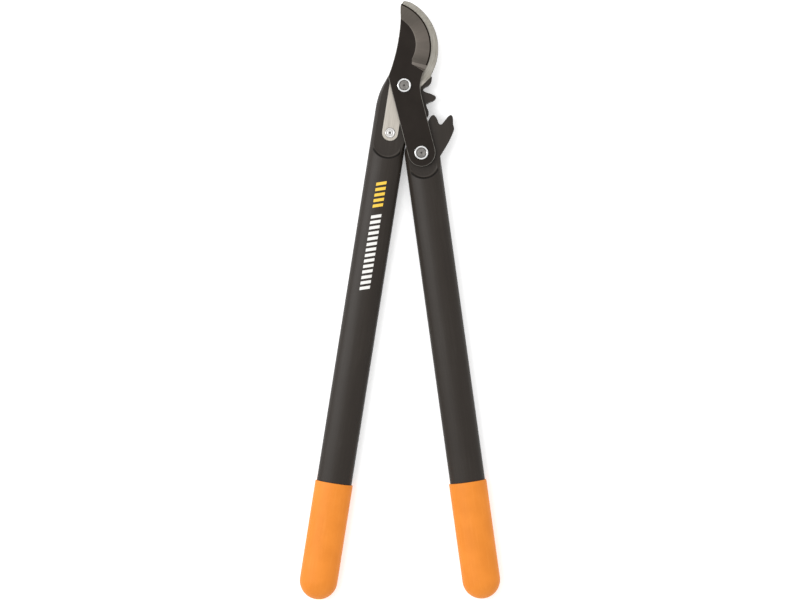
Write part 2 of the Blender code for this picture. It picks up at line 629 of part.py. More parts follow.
def blade_solid():
    """Blade and strap in one plate: broken edges, and a bevel ground down to the cutting edge."""
    cutting, ground_back, back, waist = blade_sides()
    outline = cutting + ground_back + back + waist
    flat = np.zeros(len(outline))
    first_flat = len(cutting) + len(ground_back)
    flat[first_flat + 1:-1] = 1.0
    tops = [BLADE_FRONT] * len(outline)
    for i, point in enumerate(outline[:first_flat]):
        tops[i] = ground_height(point)
    rim = inset(outline, flat * STEEL_EDGE)

    shape = bmesh.new()
    foot = [shape.verts.new((x, y, BLADE_BACK)) for x, y in outline]
    side = [shape.verts.new((x, y, top - soft * STEEL_EDGE))
            for (x, y), top, soft in zip(outline, tops, flat)]
    face = [side[i] if flat[i] == 0.0 else shape.verts.new((*rim[i], tops[i]))
            for i in range(len(outline))]
    for lower, upper in ((foot, side), (side, face)):
        for i in range(len(outline)):
            j = (i + 1) % len(outline)
            corners = list(dict.fromkeys((lower[i], lower[j], upper[j], upper[i])))
            if len(corners) > 2:
                shape.faces.new(corners)
    shape.faces.new(list(reversed(foot)))

    # the bevel: the heel's run-out, one strip round to the back edge, then the tip
    grind = HEEL_INNER + arc(GRIND_CENTRE, GRIND_RADIUS, -29.5, 61.6, len(cutting) - 1)[:-1]
    inner = [shape.verts.new((x, y, BLADE_FRONT)) for x, y in grind] + [face[first_flat]]
    outer = [face[-1]] + face[:len(cutting)]
    shape.faces.new((inner[0], outer[0], outer[1]))
    shape.faces.new((inner[0], outer[1], inner[1]))
    for k in range(1, len(outer) - 1):
        shape.faces.new((inner[k], outer[k], outer[k + 1], inner[k + 1]))
    shape.faces.new([inner[-1], outer[-1]] + face[len(cutting):first_flat])
    shape.faces.new(inner + face[first_flat + 1:])
    return shape


def make_blade(finish, parent):
    blade = add_piece("blade", blade_solid(), finish, parent)
    for name, centre in (("blade_pivot_hole", (0.0, 0.0)), ("strap_pivot_hole", PIVOT_B)):
        hole = drill(centre, HOLE_RADIUS, BLADE_BACK - MM, BLADE_FRONT + MM)
        combine(blade, name, hole, "DIFFERENCE")


def make_link(finish, parent):
    """Back plate that carries both pivot pins on the far side of the heads."""
    half = 13.5 * MM
    facing = STRAP_ANGLE - 90.0
    outline = arc((0.0, 0.0), half, facing + 90.0, facing + 270.0, 17)
    outline += arc(PIVOT_B, half, facing - 90.0, facing + 90.0, 17)
    link = add_piece("rear_link_plate", plate(outline, LINK_BACK, LINK_FRONT, STEEL_EDGE),
                     finish, parent)
    for name, centre in (("link_hole_a", (0.0, 0.0)), ("link_hole_b", PIVOT_B)):
        hole = drill(centre, HOLE_RADIUS, LINK_BACK - MM, LINK_FRONT + MM)
        combine(link, name, hole, "DIFFERENCE")


def make_pivot(prefix, finishes, parent, centre, washer_back):
    """Pin with a flat head behind, riveted over in front inside a ring collar, and two washers."""
    upset_back = COLLAR_BACK + COLLAR_FLOOR + FACE_GAP
    upset_front = COLLAR_FRONT - 0.3 * MM
    chamfer = 0.5 * MM
    profile = [
        (0.0, upset_front - 0.6 * MM), (0.8 * MM, upset_front - 0.5 * MM),
        (1.2 * MM, upset_front), (UPSET_RADIUS - 0.6 * MM, upset_front),
        (UPSET_RADIUS, upset_front - 0.4 * MM), (UPSET_RADIUS, upset_back),
        (PIN_RADIUS, upset_back), (PIN_RADIUS, PIN_HEAD_FRONT),
        (PIVOT_HEAD_RADIUS, PIN_HEAD_FRONT), (PIVOT_HEAD_RADIUS, PIN_HEAD_BACK + chamfer),
        (PIVOT_HEAD_RADIUS - chamfer, PIN_HEAD_BACK), (0.0, PIN_HEAD_BACK),
    ]
    add_piece(prefix + "_pin", turned(profile, centre, False), finishes["pin"], parent)

    cup = UPSET_RADIUS + BUSH_FIT
    profile = [
        (HOLE_RADIUS, COLLAR_BACK), (PIVOT_HEAD_RADIUS, COLLAR_BACK),
        (PIVOT_HEAD_RADIUS, COLLAR_FRONT - chamfer), (PIVOT_HEAD_RADIUS - chamfer, COLLAR_FRONT),
        (cup + 0.4 * MM, COLLAR_FRONT), (cup, COLLAR_FRONT - 0.4 * MM),
        (cup, COLLAR_BACK + COLLAR_FLOOR), (HOLE_RADIUS, COLLAR_BACK + COLLAR_FLOOR),
    ]
    add_piece(prefix + "_collar", turned(profile, centre, True), finishes["collar"], parent)

    profile = flat_ring(HOLE_RADIUS, WASHER_RADIUS, washer_back, BLADE_BACK - FACE_GAP)
    add_piece(prefix + "_front_washer", turned(profile, centre, True), finishes["washer"], parent)
    profile = flat_ring(HOLE_RADIUS, WASHER_RADIUS, LINK_FRONT + FACE_GAP, HEAD_BACK - FACE_GAP)
    add_piece(prefix + "_rear_washer", turned(profile, centre, True), finishes["washer"], parent)


def make_bush(name, finish, parent, front):
    """Sleeve in a head's bore, on which the pin turns."""
    profile = flat_ring(HOLE_RADIUS, BUSH_RADIUS, HEAD_BACK, front)
    add_piece(name, turned(profile, (0.0, 0.0), True), finish, parent)


# --- assembly ----------------------------------------------------------------------------------

def settle_origin(root):
    """Move the tool so that the centre of its box's bottom face is the origin."""
    depsgraph = bpy.context.evaluated_depsgraph_get()
    corners = []
    for item in bpy.context.scene.objects:
        if item.type == "MESH" and not item.hide_render:
            placed = item.evaluated_get(depsgraph)
            corners += [placed.matrix_world @ Vector(corner) for corner in placed.bound_box]
    lowest = np.min(np.array(corners), axis=0)
    highest = np.max(np.array(corners), axis=0)
    centre = (lowest + highest) / 2.0
    root.location = (-centre[0], -centre[1], -lowest[2])
    print("tool box", np.round((highest - lowest) / MM, 2), "pivot A at",
          np.round(np.array(root.location) / MM, 3))


def build():
    clear_scene()
    moulding = material("glass_filled_nylon", (0.055, 0.048, 0.042), 0.45, 0.0)
    orange = material("orange_grip", (0.92, 0.33, 0.04), 0.5, 0.0)
    ground = material("ground_steel", (0.62, 0.60, 0.57), 0.35, 1.0)
    coated = material("coated_steel", (0.035, 0.03, 0.028), 0.35, 0.2)
    bright = material("bright_steel", (0.75, 0.74, 0.72), 0.25, 1.0)
    dull = material("plated_steel", (0.5, 0.49, 0.46), 0.4, 1.0)
    nylon = material("washer_nylon", (0.75, 0.74, 0.70), 0.5, 0.0)

    tool = add_empty("tool", (0.0, 0.0))
    blade_axis = add_empty("blade_axis", (0.0, 0.0), tool)
    gear_axis = add_empty("gear_axis", PIVOT_B, blade_axis)

    make_left_handle(moulding, tool)
    make_grip("left_grip", orange, tool, LEFT_TILT, LEFT_OFFSET, LEFT_GRIP_START)
    make_hook(ground, tool)
    make_rivet(bright, dull, tool)
    make_bush("left_pivot_bush", dull, tool, POCKET_FLOOR - FACE_GAP)

    make_blade(coated, blade_axis)
    make_link(coated, blade_axis)
    finishes = {"pin": dull, "collar": bright, "washer": nylon}
    make_pivot("blade_pivot", finishes, blade_axis, (0.0, 0.0), HOOK_FRONT + FACE_GAP)
    make_pivot("gear_pivot", finishes, blade_axis, PIVOT_B, HEAD_FRONT + FACE_GAP)

    make_right_handle(moulding, gear_axis)
    make_grip("right_grip", orange, gear_axis, RIGHT_TILT, RIGHT_OFFSET, RIGHT_GRIP_START)
    make_bush("right_pivot_bush", dull, gear_axis, HEAD_FRONT)
    settle_origin(tool)


build()
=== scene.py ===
# %% [markdown]
# # Geared lopping shears, finished in Blender
#
# The tool is a pair of long-handled pruning shears. A curved steel blade sweeps past a hook, and
# the blade's lower end is a strap that carries the second handle. Teeth moulded on both handle
# heads roll on each other, so that the handles close together and the cut gains force.
#
# A working model of all this already exists: closed solids, each at its true size and place, each
# on the body that it moves with. That model is loaded first. Nothing in this lesson changes where
# a part sits or how large it is. What the lesson adds is the finish: rounded edges, turned and
# moulded detail, and a material for each substance.

# %% Load the working model
import json
import math
import bpy
import bmesh
import numpy as np
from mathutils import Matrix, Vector

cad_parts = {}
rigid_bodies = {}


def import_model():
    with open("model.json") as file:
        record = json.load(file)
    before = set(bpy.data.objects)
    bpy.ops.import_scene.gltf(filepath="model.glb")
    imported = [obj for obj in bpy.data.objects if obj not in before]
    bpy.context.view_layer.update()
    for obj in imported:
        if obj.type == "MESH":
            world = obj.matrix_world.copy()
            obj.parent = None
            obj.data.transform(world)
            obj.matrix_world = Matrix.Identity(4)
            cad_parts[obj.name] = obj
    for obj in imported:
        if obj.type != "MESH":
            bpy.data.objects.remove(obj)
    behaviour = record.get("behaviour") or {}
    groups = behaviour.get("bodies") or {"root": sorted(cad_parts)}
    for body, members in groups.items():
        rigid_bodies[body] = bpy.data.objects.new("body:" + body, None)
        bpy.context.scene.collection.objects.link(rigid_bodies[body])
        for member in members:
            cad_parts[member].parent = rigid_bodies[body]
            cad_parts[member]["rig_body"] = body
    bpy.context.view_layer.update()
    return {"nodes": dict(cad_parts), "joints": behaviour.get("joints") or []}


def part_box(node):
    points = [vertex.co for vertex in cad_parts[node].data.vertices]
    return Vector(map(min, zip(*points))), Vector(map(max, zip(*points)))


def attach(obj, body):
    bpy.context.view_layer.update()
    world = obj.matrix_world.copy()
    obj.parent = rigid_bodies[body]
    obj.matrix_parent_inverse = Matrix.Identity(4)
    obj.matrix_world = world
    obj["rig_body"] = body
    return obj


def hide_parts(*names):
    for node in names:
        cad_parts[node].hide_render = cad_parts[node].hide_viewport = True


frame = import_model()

# %% [markdown]
# ## Where things are
#
# Everything is measured from the two pivots. Pivot A carries the blade, and pivot B, at the foot
# of the strap, carries the right handle. Both are joints of the working model, so their places can
# be read from it instead of being typed again. A short name for a millimetre keeps sizes legible,
# and a small helper prints them.

# %% Read the pivots
MM = 0.001


def in_mm(lengths):
    """Lengths in millimetres, rounded for printing."""
    return [round(length / MM, 2) for length in lengths]


joints = {joint["name"]: Vector(joint["pos_m"]) for joint in frame["joints"]}
pivot_a = joints["blade_pivot"]
pivot_b = joints["gear_pivot"]
print("pivot A", in_mm(pivot_a), "pivot B", in_mm(pivot_b))

# %% [markdown]
# Each handle is a straight oval tube that leans outwards. Its centre line could be typed in as an
# angle, but the grips already know it: a grip is symmetrical about the line, so the longest
# principal direction of its points is the line itself. The same points give the half width and
# the half depth of the tube's oval.

# %% Measure each tube's centre line
def centre_line(grip):
    """Rim centre, unit direction towards the end, length, half width and half depth of a grip."""
    points = np.array([vertex.co for vertex in frame["nodes"][grip].data.vertices])
    middle = (points.min(axis=0) + points.max(axis=0)) / 2.0
    direction = np.linalg.svd(points - points.mean(axis=0), full_matrices=False)[2][0]
    direction *= -np.sign(direction[1])
    direction[2] = 0.0
    direction /= np.linalg.norm(direction)
    across = np.array([-direction[1], direction[0], 0.0])
    along = points @ direction
    sideways = points @ across
    centre = (sideways.min() + sideways.max()) / 2.0
    rim = direction * along.min() + across * centre
    rim[2] = middle[2]
    half_width = (sideways.max() - sideways.min()) / 2.0
    half_depth = (points[:, 2].max() - points[:, 2].min()) / 2.0
    return Vector(rim), Vector(direction), along.max() - along.min(), half_width, half_depth


lines = {side: centre_line(side + "_grip") for side in ("left", "right")}
for side, (rim, direction, length, half_width, half_depth) in lines.items():
    lean = math.degrees(math.atan2(direction.x, -direction.y))
    print(side, "lean", round(lean, 2), "grip", in_mm((length, half_width, half_depth)))

# %% [markdown]
# ## Shader sums that read like sums
#
# A procedural material is a small program. Built with one line per node it soon becomes
# unreadable, so a light wrapper is written first. `Wire` stands for what comes out of a node. The
# ordinary operators on it add Math nodes for plain values, Vector Math nodes for vectors and Mix
# nodes for colours. The reflected forms are there too, so that `1 - mask` works.

# %% A wire that can be added and multiplied
class Wire:
    """What comes out of a shader node, with operators that add the next node."""

    def __init__(self, finish, socket):
        self.finish = finish
        self.socket = socket

    def _join(self, operation, first, second):
        kinds = {wire.socket.type for wire in (first, second) if isinstance(wire, Wire)}
        if "RGBA" in kinds:
            settings = {"data_type": "RGBA", "blend_type": operation}
            return self.finish.node("ShaderNodeMix", settings, {0: 1.0, 6: first, 7: second}, 2)
        if "VECTOR" in kinds:
            return self.finish.node("ShaderNodeVectorMath", {"operation": operation},
                                    {0: first, 1: second})
        return self.finish.node("ShaderNodeMath", {"operation": operation}, {0: first, 1: second})

    def __add__(self, other):
        return self._join("ADD", self, other)

    def __radd__(self, other):
        return self._join("ADD", other, self)

    def __sub__(self, other):
        return self._join("SUBTRACT", self, other)

    def __rsub__(self, other):
        return self._join("SUBTRACT", other, self)

    def __mul__(self, other):
        return self._join("MULTIPLY", self, other)

    def __rmul__(self, other):
        return self._join("MULTIPLY", other, self)

    def __gt__(self, other):
        return self._join("GREATER_THAN", self, other)

    def math(self, operation, other=0.0):
        """Any other Math operation, such as ABSOLUTE, MINIMUM or SQRT."""
        return self._join(operation, self, other)

    def between(self, low, high, bottom=0.0, top=1.0):
        """Bottom below low, top above high, and a smooth step from one to the other."""
        settings = {"interpolation_type": "SMOOTHSTEP"}
        sockets = {"Value": self, "From Min": low, "From Max": high,
                   "To Min": bottom, "To Max": top}
        return self.finish.node("ShaderNodeMapRange", settings, sockets)


print("wires ready")

# %% [markdown]
# `Finish` is the material itself. Whatever is the same all over the surface, such as the index of
# refraction, is set straight on the Principled shader. Every other node comes from one method,
# `node`, which takes its type, its settings and its sockets. A few nouns on top of that, such as
# `noise` and `mix`, name what the materials below use most. All patterns read Object coordinates.
# Every finished piece sits at the origin, so these are metres in the tool's own frame.

# %% A material under construction
class Finish:
    """A material, built node by node."""

    def __init__(self, name, **uniform):
        self.material = bpy.data.materials.new(name)
        self.material.use_nodes = True
        self.tree = self.material.node_tree
        self.tree.nodes.clear()
        self.shader = self.tree.nodes.new("ShaderNodeBsdfPrincipled")
        output = self.tree.nodes.new("ShaderNodeOutputMaterial")
        self.tree.links.new(self.shader.outputs[0], output.inputs["Surface"])
        for words, value in uniform.items():
            self.shader.inputs[words.replace("_", " ")].default_value = value
        self.place = self.node("ShaderNodeTexCoord", output="Object")

    def feed(self, socket, value):
        """Link a wire to a socket, or set a plain value on it."""
        if isinstance(value, Wire):
            self.tree.links.new(value.socket, socket)
        else:
            socket.default_value = value

    def node(self, kind, settings=None, sockets=None, output=0):
        """Any node: its type, its settings, its sockets and the output that is wanted."""
        made = self.tree.nodes.new(kind)
        for name, value in (settings or {}).items():
            setattr(made, name, value)
        for name, value in (sockets or {}).items():
            self.feed(made.inputs[name], value)
        return Wire(self, made.outputs[output])

    def noise(self, place, size, detail=3.0):
        """Cloudy values around 0.5, with lumps about as large as size."""
        sockets = {"Vector": place, "Scale": 1.0 / size, "Detail": detail}
        return self.node("ShaderNodeTexNoise", None, sockets)

    def mix(self, share, first, second):
        """The first colour where share is 0, and the second where it is 1."""
        settings = {"data_type": "RGBA"}
        return self.node("ShaderNodeMix", settings, {0: share, 6: first, 7: second}, 2)

    def turned_place(self, origin, angle, scale=(1.0, 1.0, 1.0)):
        """Coordinates from an origin, with Y turned to an angle about Z, then stretched."""
        settings = {"vector_type": "TEXTURE"}
        sockets = {"Vector": self.place, "Location": origin, "Rotation": (0.0, 0.0, angle),
                   "Scale": scale}
        return self.node("ShaderNodeMapping", settings, sockets)

    def parts(self, place):
        """The three parts of a place, each as a plain value."""
        split = self.node("ShaderNodeSeparateXYZ", None, {0: place}).socket.node
        return [Wire(self, split.outputs[k]) for k in range(3)]

    def attribute(self, name):
        """A number that the mesh itself carries."""
        return self.node("ShaderNodeAttribute", {"attribute_name": name}, None, "Fac")

    def surface(self, colour=None, roughness=None, metallic=None, bumps=()):
        """Connect what varies. Each bump is a height, and the depth that a height of 1 means."""
        varying = {"Base Color": colour, "Roughness": roughness, "Metallic": metallic}
        for name, value in varying.items():
            if value is not None:
                self.feed(self.shader.inputs[name], value)
        normal = None
        for height, depth in bumps:
            sockets = {"Height": height, "Distance": depth, "Strength": 1.0}
            if normal is not None:
                sockets["Normal"] = normal
            normal = self.node("ShaderNodeBump", None, sockets)
        if normal is not None:
            self.feed(self.shader.inputs["Normal"], normal)
        return self.material


print("material builder ready")

# %% [markdown]
# Two small helpers go with it. Patterns are turned along a handle by the angle of its direction,
# and greys that are a little warm or neutral come up in every metal.

# %% Angles and greys
def angle_of(direction):
    """Turn about Z that takes +Y to a direction in plan."""
    return math.atan2(-direction.x, direction.y)


def grey(value, warmth=0.0):
    """A neutral colour, or a slightly warm one."""
    return (value * (1.0 + warmth), value, value * (1.0 - warmth), 1.0)


turns = {side: round(math.degrees(angle_of(line[1])), 2) for side, line in lines.items()}
print("patterns turn by", turns, "degrees")

# %% [markdown]
# ## Two ways to a finished shape
#
# Some pieces are flat plates and hollow mouldings with an outline of their own: the handles, the
# hook, the blade and the rear link plate. Their working solids already have that outline, so each
# finished piece starts as a copy of one. Modifiers do the rest, and they are applied in the end,
# so that each piece is a plain mesh.

# %% Apply a piece's modifiers
SHARP_EDGE = math.radians(32.0)


def applied(piece):
    """Give a piece the mesh that its modifiers make of it."""
    graph = bpy.context.evaluated_depsgraph_get()
    mesh = bpy.data.meshes.new_from_object(piece.evaluated_get(graph), depsgraph=graph)
    piece.modifiers.clear()
    piece.data = mesh
    return mesh


def plain_mesh(piece):
    """Apply a piece's modifiers and shade it smooth, except at sharp edges."""
    mesh = applied(piece)
    mesh.shade_smooth()
    mesh.set_sharp_from_angle(angle=SHARP_EDGE)
    return mesh


def add_piece(name, data):
    """A new object in the scene, at the origin, for a mesh, a lamp or a camera."""
    piece = bpy.data.objects.new(name, data)
    bpy.context.scene.collection.objects.link(piece)
    return piece


print("edges stay sharp from", round(math.degrees(SHARP_EDGE)), "degrees")

# %% [markdown]
# The copy arrives as loose triangles. It is merged, and faces that lie in one plane are dissolved
# into one, which leaves only the real edges. A Bevel modifier then breaks those edges, because no
# real edge is perfectly sharp. Edges could be broken by hand, one by one, but the modifier finds
# them by their angle. A Weighted Normal modifier keeps the flats looking flat. The new faces along
# an edge are marked with an attribute, so that the material can wear them.

# %% Finish a copy of a working solid
SAME_POINT = 0.03 * MM
SAME_PLANE = math.radians(0.5)
REAL_EDGE = math.radians(28.0)
FLAT_SLOT, EDGE_SLOT = 0, 1


def marked_copy(name, node, ground, rubbed):
    """Merged copy of a working solid, with its ground faces and its worn edges marked."""
    shape = bmesh.new()
    shape.from_mesh(frame["nodes"][node].data)
    bmesh.ops.remove_doubles(shape, verts=shape.verts, dist=SAME_POINT)
    bmesh.ops.dissolve_limit(shape, angle_limit=SAME_PLANE, verts=shape.verts, edges=shape.edges)
    marks = shape.faces.layers.float.new("ground")
    for face in shape.faces:
        face[marks] = ground(face) if ground else 0.0
        face.material_index = EDGE_SLOT if rubbed and rubbed(face) else FLAT_SLOT
    mesh = bpy.data.meshes.new(name)
    shape.to_mesh(mesh)
    shape.free()
    for _ in (FLAT_SLOT, EDGE_SLOT):
        mesh.materials.append(None)
    return mesh


def broken_edges(name, node, width, steps=2, ground=None, rubbed=None):
    """Copy of a working solid with its edges broken.

    Ground gives each face a number for how a wheel has cut it, and rubbed is true for faces that
    belong to a worn edge already.
    """
    piece = add_piece(name, marked_copy(name, node, ground, rubbed))
    bevel = piece.modifiers.new("broken_edges", "BEVEL")
    bevel.width = width
    bevel.segments = steps
    bevel.limit_method = "ANGLE"
    bevel.angle_limit = REAL_EDGE
    bevel.material = EDGE_SLOT
    mesh = plain_mesh(piece)
    worn = mesh.attributes.new("edge", "FLOAT", "FACE")
    on_edge = [float(polygon.material_index == EDGE_SLOT) for polygon in mesh.polygons]
    worn.data.foreach_set("value", on_edge)
    for polygon in mesh.polygons:
        polygon.material_index = FLAT_SLOT
    mesh.materials.pop()
    weigh = piece.modifiers.new("flat_faces_stay_flat", "WEIGHTED_NORMAL")
    weigh.keep_sharp = True
    mesh = applied(piece)
    print(name, len(mesh.polygons), "faces")
    return piece


print("points merge within", SAME_POINT / MM, "mm")

# %% [markdown]
# A finished piece stands for its working solid: it takes the solid's place, rides on the same
# body, and gets the material of its substance.

# %% Let a finished piece stand for its working solid
def fit(piece, node, body, material):
    """Give a finished piece its material, and let it stand for its working solid."""
    piece.data.materials.clear()
    piece.data.materials.append(material)
    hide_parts(node)
    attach(piece, body)


def body_of(node):
    """The body that a working solid moves with."""
    return frame["nodes"][node]["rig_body"]


print("the hook moves with", body_of("hook"))

# %% [markdown]
# What repeats or follows a rule is made with Geometry Nodes. Such a tree has named inputs for its
# sizes. Like a material, it gets every node from one method, and it always ends the same way.

# %% A tree of geometry nodes
class Tree:
    """A Geometry Nodes tree, built with one method that adds any node."""

    def __init__(self, name, inputs):
        self.tree = bpy.data.node_groups.new(name, "GeometryNodeTree")
        self.tree.is_modifier = True
        ends = self.tree.interface
        ends.new_socket("Geometry", in_out="INPUT", socket_type="NodeSocketGeometry")
        for words, (kind, value) in inputs.items():
            socket = ends.new_socket(words, in_out="INPUT", socket_type=kind)
            if value is not None:
                socket.default_value = value
        ends.new_socket("Geometry", in_out="OUTPUT", socket_type="NodeSocketGeometry")
        self.given = self.tree.nodes.new("NodeGroupInput").outputs
        self.result = self.tree.nodes.new("NodeGroupOutput").inputs["Geometry"]

    def node(self, kind, settings=None, sockets=None, output=0):
        """Any node: its type, its settings, its sockets and the output that is wanted."""
        made = self.tree.nodes.new(kind)
        for name, value in (settings or {}).items():
            setattr(made, name, value)
        for name, value in (sockets or {}).items():
            if isinstance(value, bpy.types.NodeSocket):
                self.tree.links.new(value, made.inputs[name])
            else:
                made.inputs[name].default_value = value
        return made.outputs[output]

    def math(self, operation, first, second=0.0):
        """A Math node on two values."""
        return self.node("ShaderNodeMath", {"operation": operation}, {0: first, 1: second})

    def finish(self, geometry):
        """End in Realize Instances and Set Material, so that the result is a plain mesh."""
        real = self.node("GeometryNodeRealizeInstances", None, {"Geometry": geometry})
        painted = self.node("GeometryNodeSetMaterial", None,
                            {"Geometry": real, "Material": self.given["Material"]})
        self.tree.links.new(painted, self.result)
        return self.tree


print("trees end in Realize Instances and Set Material")

# %% [markdown]
# Everything else on the tool is turned about a line: pins, collars, washers, bushes, the rivet,
# and the two grips, which are turned in an oval way. A Screw modifier can only turn in a circle,
# so the lathe is a tree of its own. The piece starts as a bare profile: each point holds the half
# width, the half depth and the distance along the axis. The tree lays out a grid with one row for
# each profile point, wraps the rows round the axis, merges the seam and the poles, and puts the
# result in its place.

# %% The lathe
SEAM_GAP = 0.001 * MM


def lathe_tree():
    """Grid rows wrapped round Z, at the half width and half depth that the profile gives."""
    lathe = Tree("Lathe", {
        "Segments": ("NodeSocketInt", 96),
        "Centre": ("NodeSocketVector", None),
        "Turn": ("NodeSocketVector", None),
        "Material": ("NodeSocketMaterial", None),
    })
    profile = lathe.given["Geometry"]
    rows = lathe.node("GeometryNodeAttributeDomainSize", None, {"Geometry": profile},
                      "Point Count")
    columns = lathe.math("ADD", lathe.given["Segments"], 1.0)
    grid = lathe.node("GeometryNodeMeshGrid", None, {"Vertices X": rows, "Vertices Y": columns})
    index = lathe.node("GeometryNodeInputIndex")
    # half a step keeps the quotient clear of the whole numbers, where rounding could go either way
    row = lathe.math("FLOOR", lathe.math("DIVIDE", lathe.math("ADD", index, 0.5), columns))
    column = lathe.math("SUBTRACT", index, lathe.math("MULTIPLY", row, columns))
    share = lathe.math("DIVIDE", column, lathe.given["Segments"])
    angle = lathe.math("MULTIPLY", share, 2 * math.pi)
    sampled = lathe.node("GeometryNodeSampleIndex", {"data_type": "FLOAT_VECTOR"},
                         {"Geometry": profile, "Value": lathe.node("GeometryNodeInputPosition"),
                          "Index": row})
    point = lathe.node("ShaderNodeSeparateXYZ", None, {0: sampled}).node.outputs
    wide = lathe.math("MULTIPLY", point["X"], lathe.math("COSINE", angle))
    deep = lathe.math("MULTIPLY", point["Y"], lathe.math("SINE", angle))
    place = lathe.node("ShaderNodeCombineXYZ", None, {0: wide, 1: deep, 2: point["Z"]})
    wrapped = lathe.node("GeometryNodeSetPosition", None, {"Geometry": grid, "Position": place})
    closed = lathe.node("GeometryNodeMergeByDistance", None,
                        {"Geometry": wrapped, "Distance": SEAM_GAP})
    placed = lathe.node("GeometryNodeTransform", None,
                        {"Geometry": closed, "Translation": lathe.given["Centre"],
                         "Rotation": lathe.given["Turn"]})
    return lathe.finish(placed)


lathe = lathe_tree()
print("lathe tree with", len(lathe.nodes), "nodes")

# %% [markdown]
# A profile is a list of corners. `rounded` replaces each corner by a small arc, as a turning tool
# or a mould would leave it. A Bevel modifier on the turned piece would do so as well, but it
# would have to find the edges again that the profile already knows.

# %% Profiles with rounded corners
SHARE_OF_SIDE = 0.45


def rounded(corners, radius, steps=3, closed=False):
    """Corners of a profile with every inner corner replaced by an arc."""
    knots = [Vector(corner) for corner in corners]
    count = len(knots)
    outline = []
    for i, knot in enumerate(knots):
        if not closed and i in (0, count - 1):
            outline.append(knot)
            continue
        back, ahead = knots[i - 1] - knot, knots[(i + 1) % count] - knot
        reach = min(radius, back.length * SHARE_OF_SIDE, ahead.length * SHARE_OF_SIDE)
        start = knot + back.normalized() * reach
        end = knot + ahead.normalized() * reach
        for t in np.linspace(0.0, 1.0, steps + 1):
            outline.append(start * (1 - t) ** 2 + knot * 2 * t * (1 - t) + end * t * t)
    if closed:
        outline.append(outline[0])
    return outline


def round_profile(corners):
    """Profile of a round piece from (radius, height) corners."""
    return [(radius, radius, height) for radius, height in corners]


square = [(0.0, 0.0), (1.0, 0.0), (1.0, 1.0), (0.0, 1.0)]
print("a rounded square has", len(rounded(square, 0.1, closed=True)), "points")

# %% [markdown]
# `turn` feeds a profile to the lathe. The inputs of the modifier are set by each socket's
# identifier before the object is evaluated for the first time.

# %% Turning a profile
def set_inputs(piece, tree, values):
    """A Geometry Nodes modifier on a piece, with its inputs set by identifier."""
    step = piece.modifiers.new(tree.name, "NODES")
    step.node_group = tree
    identifiers = {item.name: item.identifier for item in tree.interface.items_tree
                   if item.item_type == "SOCKET" and item.in_out == "INPUT"}
    for name, value in values.items():
        step[identifiers[name]] = value


def outward(mesh):
    """Merge and turn every face outwards."""
    shape = bmesh.new()
    shape.from_mesh(mesh)
    bmesh.ops.remove_doubles(shape, verts=shape.verts, dist=SEAM_GAP)
    bmesh.ops.recalc_face_normals(shape, faces=shape.faces)
    shape.to_mesh(mesh)
    shape.free()


def turn(name, profile, centre, material, turned_by=(0.0, 0.0, 0.0), segments=96):
    """Turn a profile of (half width, half depth, along) points about an axis through a centre."""
    mesh = bpy.data.meshes.new(name)
    mesh.from_pydata([tuple(point) for point in profile], [], [])
    piece = add_piece(name, mesh)
    set_inputs(piece, lathe, {"Segments": segments, "Centre": tuple(centre),
                              "Turn": tuple(turned_by), "Material": material})
    mesh = plain_mesh(piece)
    outward(mesh)
    print(name, len(mesh.polygons), "faces")
    return piece


print("ready to turn with", lathe.name)

# %% [markdown]
# ## The handles
#
# Each handle is one hollow moulding in glass-filled nylon, near black and slightly warm. Such a
# moulding isn't glossy: the mould is spark-eroded, which leaves a grain finer than half a
# millimetre. The melt flows along the tube and leaves long faint streaks, and the two halves of
# the mould meet in a thin line along both sides. Where hands and branches rub, the edges turn
# paler. A scanned plastic could be wrapped round the tube, but it would repeat and show its seam.
# So each of these is one noise or one distance, mixed a little into colour, roughness or bump.
#
# Where the oval tube steps down to the flat head, there is a curved shoulder with a cove at its
# foot. The cove gets a paler painted highlight, and its steep top gets a black painted shade. Both
# follow one circle, so they need only the distance from its centre.

# %% Where the shoulders get a painted highlight and a painted shade
SHOULDER_RADIUS = 19.0 * MM
SHOULDERS = {"left": (pivot_a, 85.8 * MM), "right": (pivot_b, 29.7 * MM)}
HEAD_HALF = 7.5 * MM
WALL_STARTS = (5.0 * MM, 9.0 * MM)
COVE = ((-5.5 * MM, -3.2 * MM), (-2.2 * MM, -1.3 * MM))
CREASE = ((-1.9 * MM, -0.6 * MM), (0.2 * MM, 1.0 * MM))


def band(ring, fades):
    """One inside a ring-shaped band, with the two fades given from the shoulder's radius."""
    (inner_low, inner_high), (outer_low, outer_high) = fades
    rise = ring.between(SHOULDER_RADIUS + inner_low, SHOULDER_RADIUS + inner_high)
    return rise * (1 - ring.between(SHOULDER_RADIUS + outer_low, SHOULDER_RADIUS + outer_high))


def shoulder_masks(side, across, along, height):
    """Painted highlight in the cove and painted shade in the crease of one handle's shoulder."""
    rim, direction = lines[side][:2]
    pivot, shoulder = SHOULDERS[side]
    down = along - ((pivot - rim).dot(direction) + shoulder - SHOULDER_RADIUS)
    ring = (across * across + down * down).math("SQRT")
    wall = down.between(*WALL_STARTS) * (height.math("ABSOLUTE") > HEAD_HALF)
    return wall * band(ring, COVE), wall * band(ring, CREASE)


print("shoulder circles of", in_mm([SHOULDER_RADIUS])[0], "mm for", sorted(SHOULDERS))
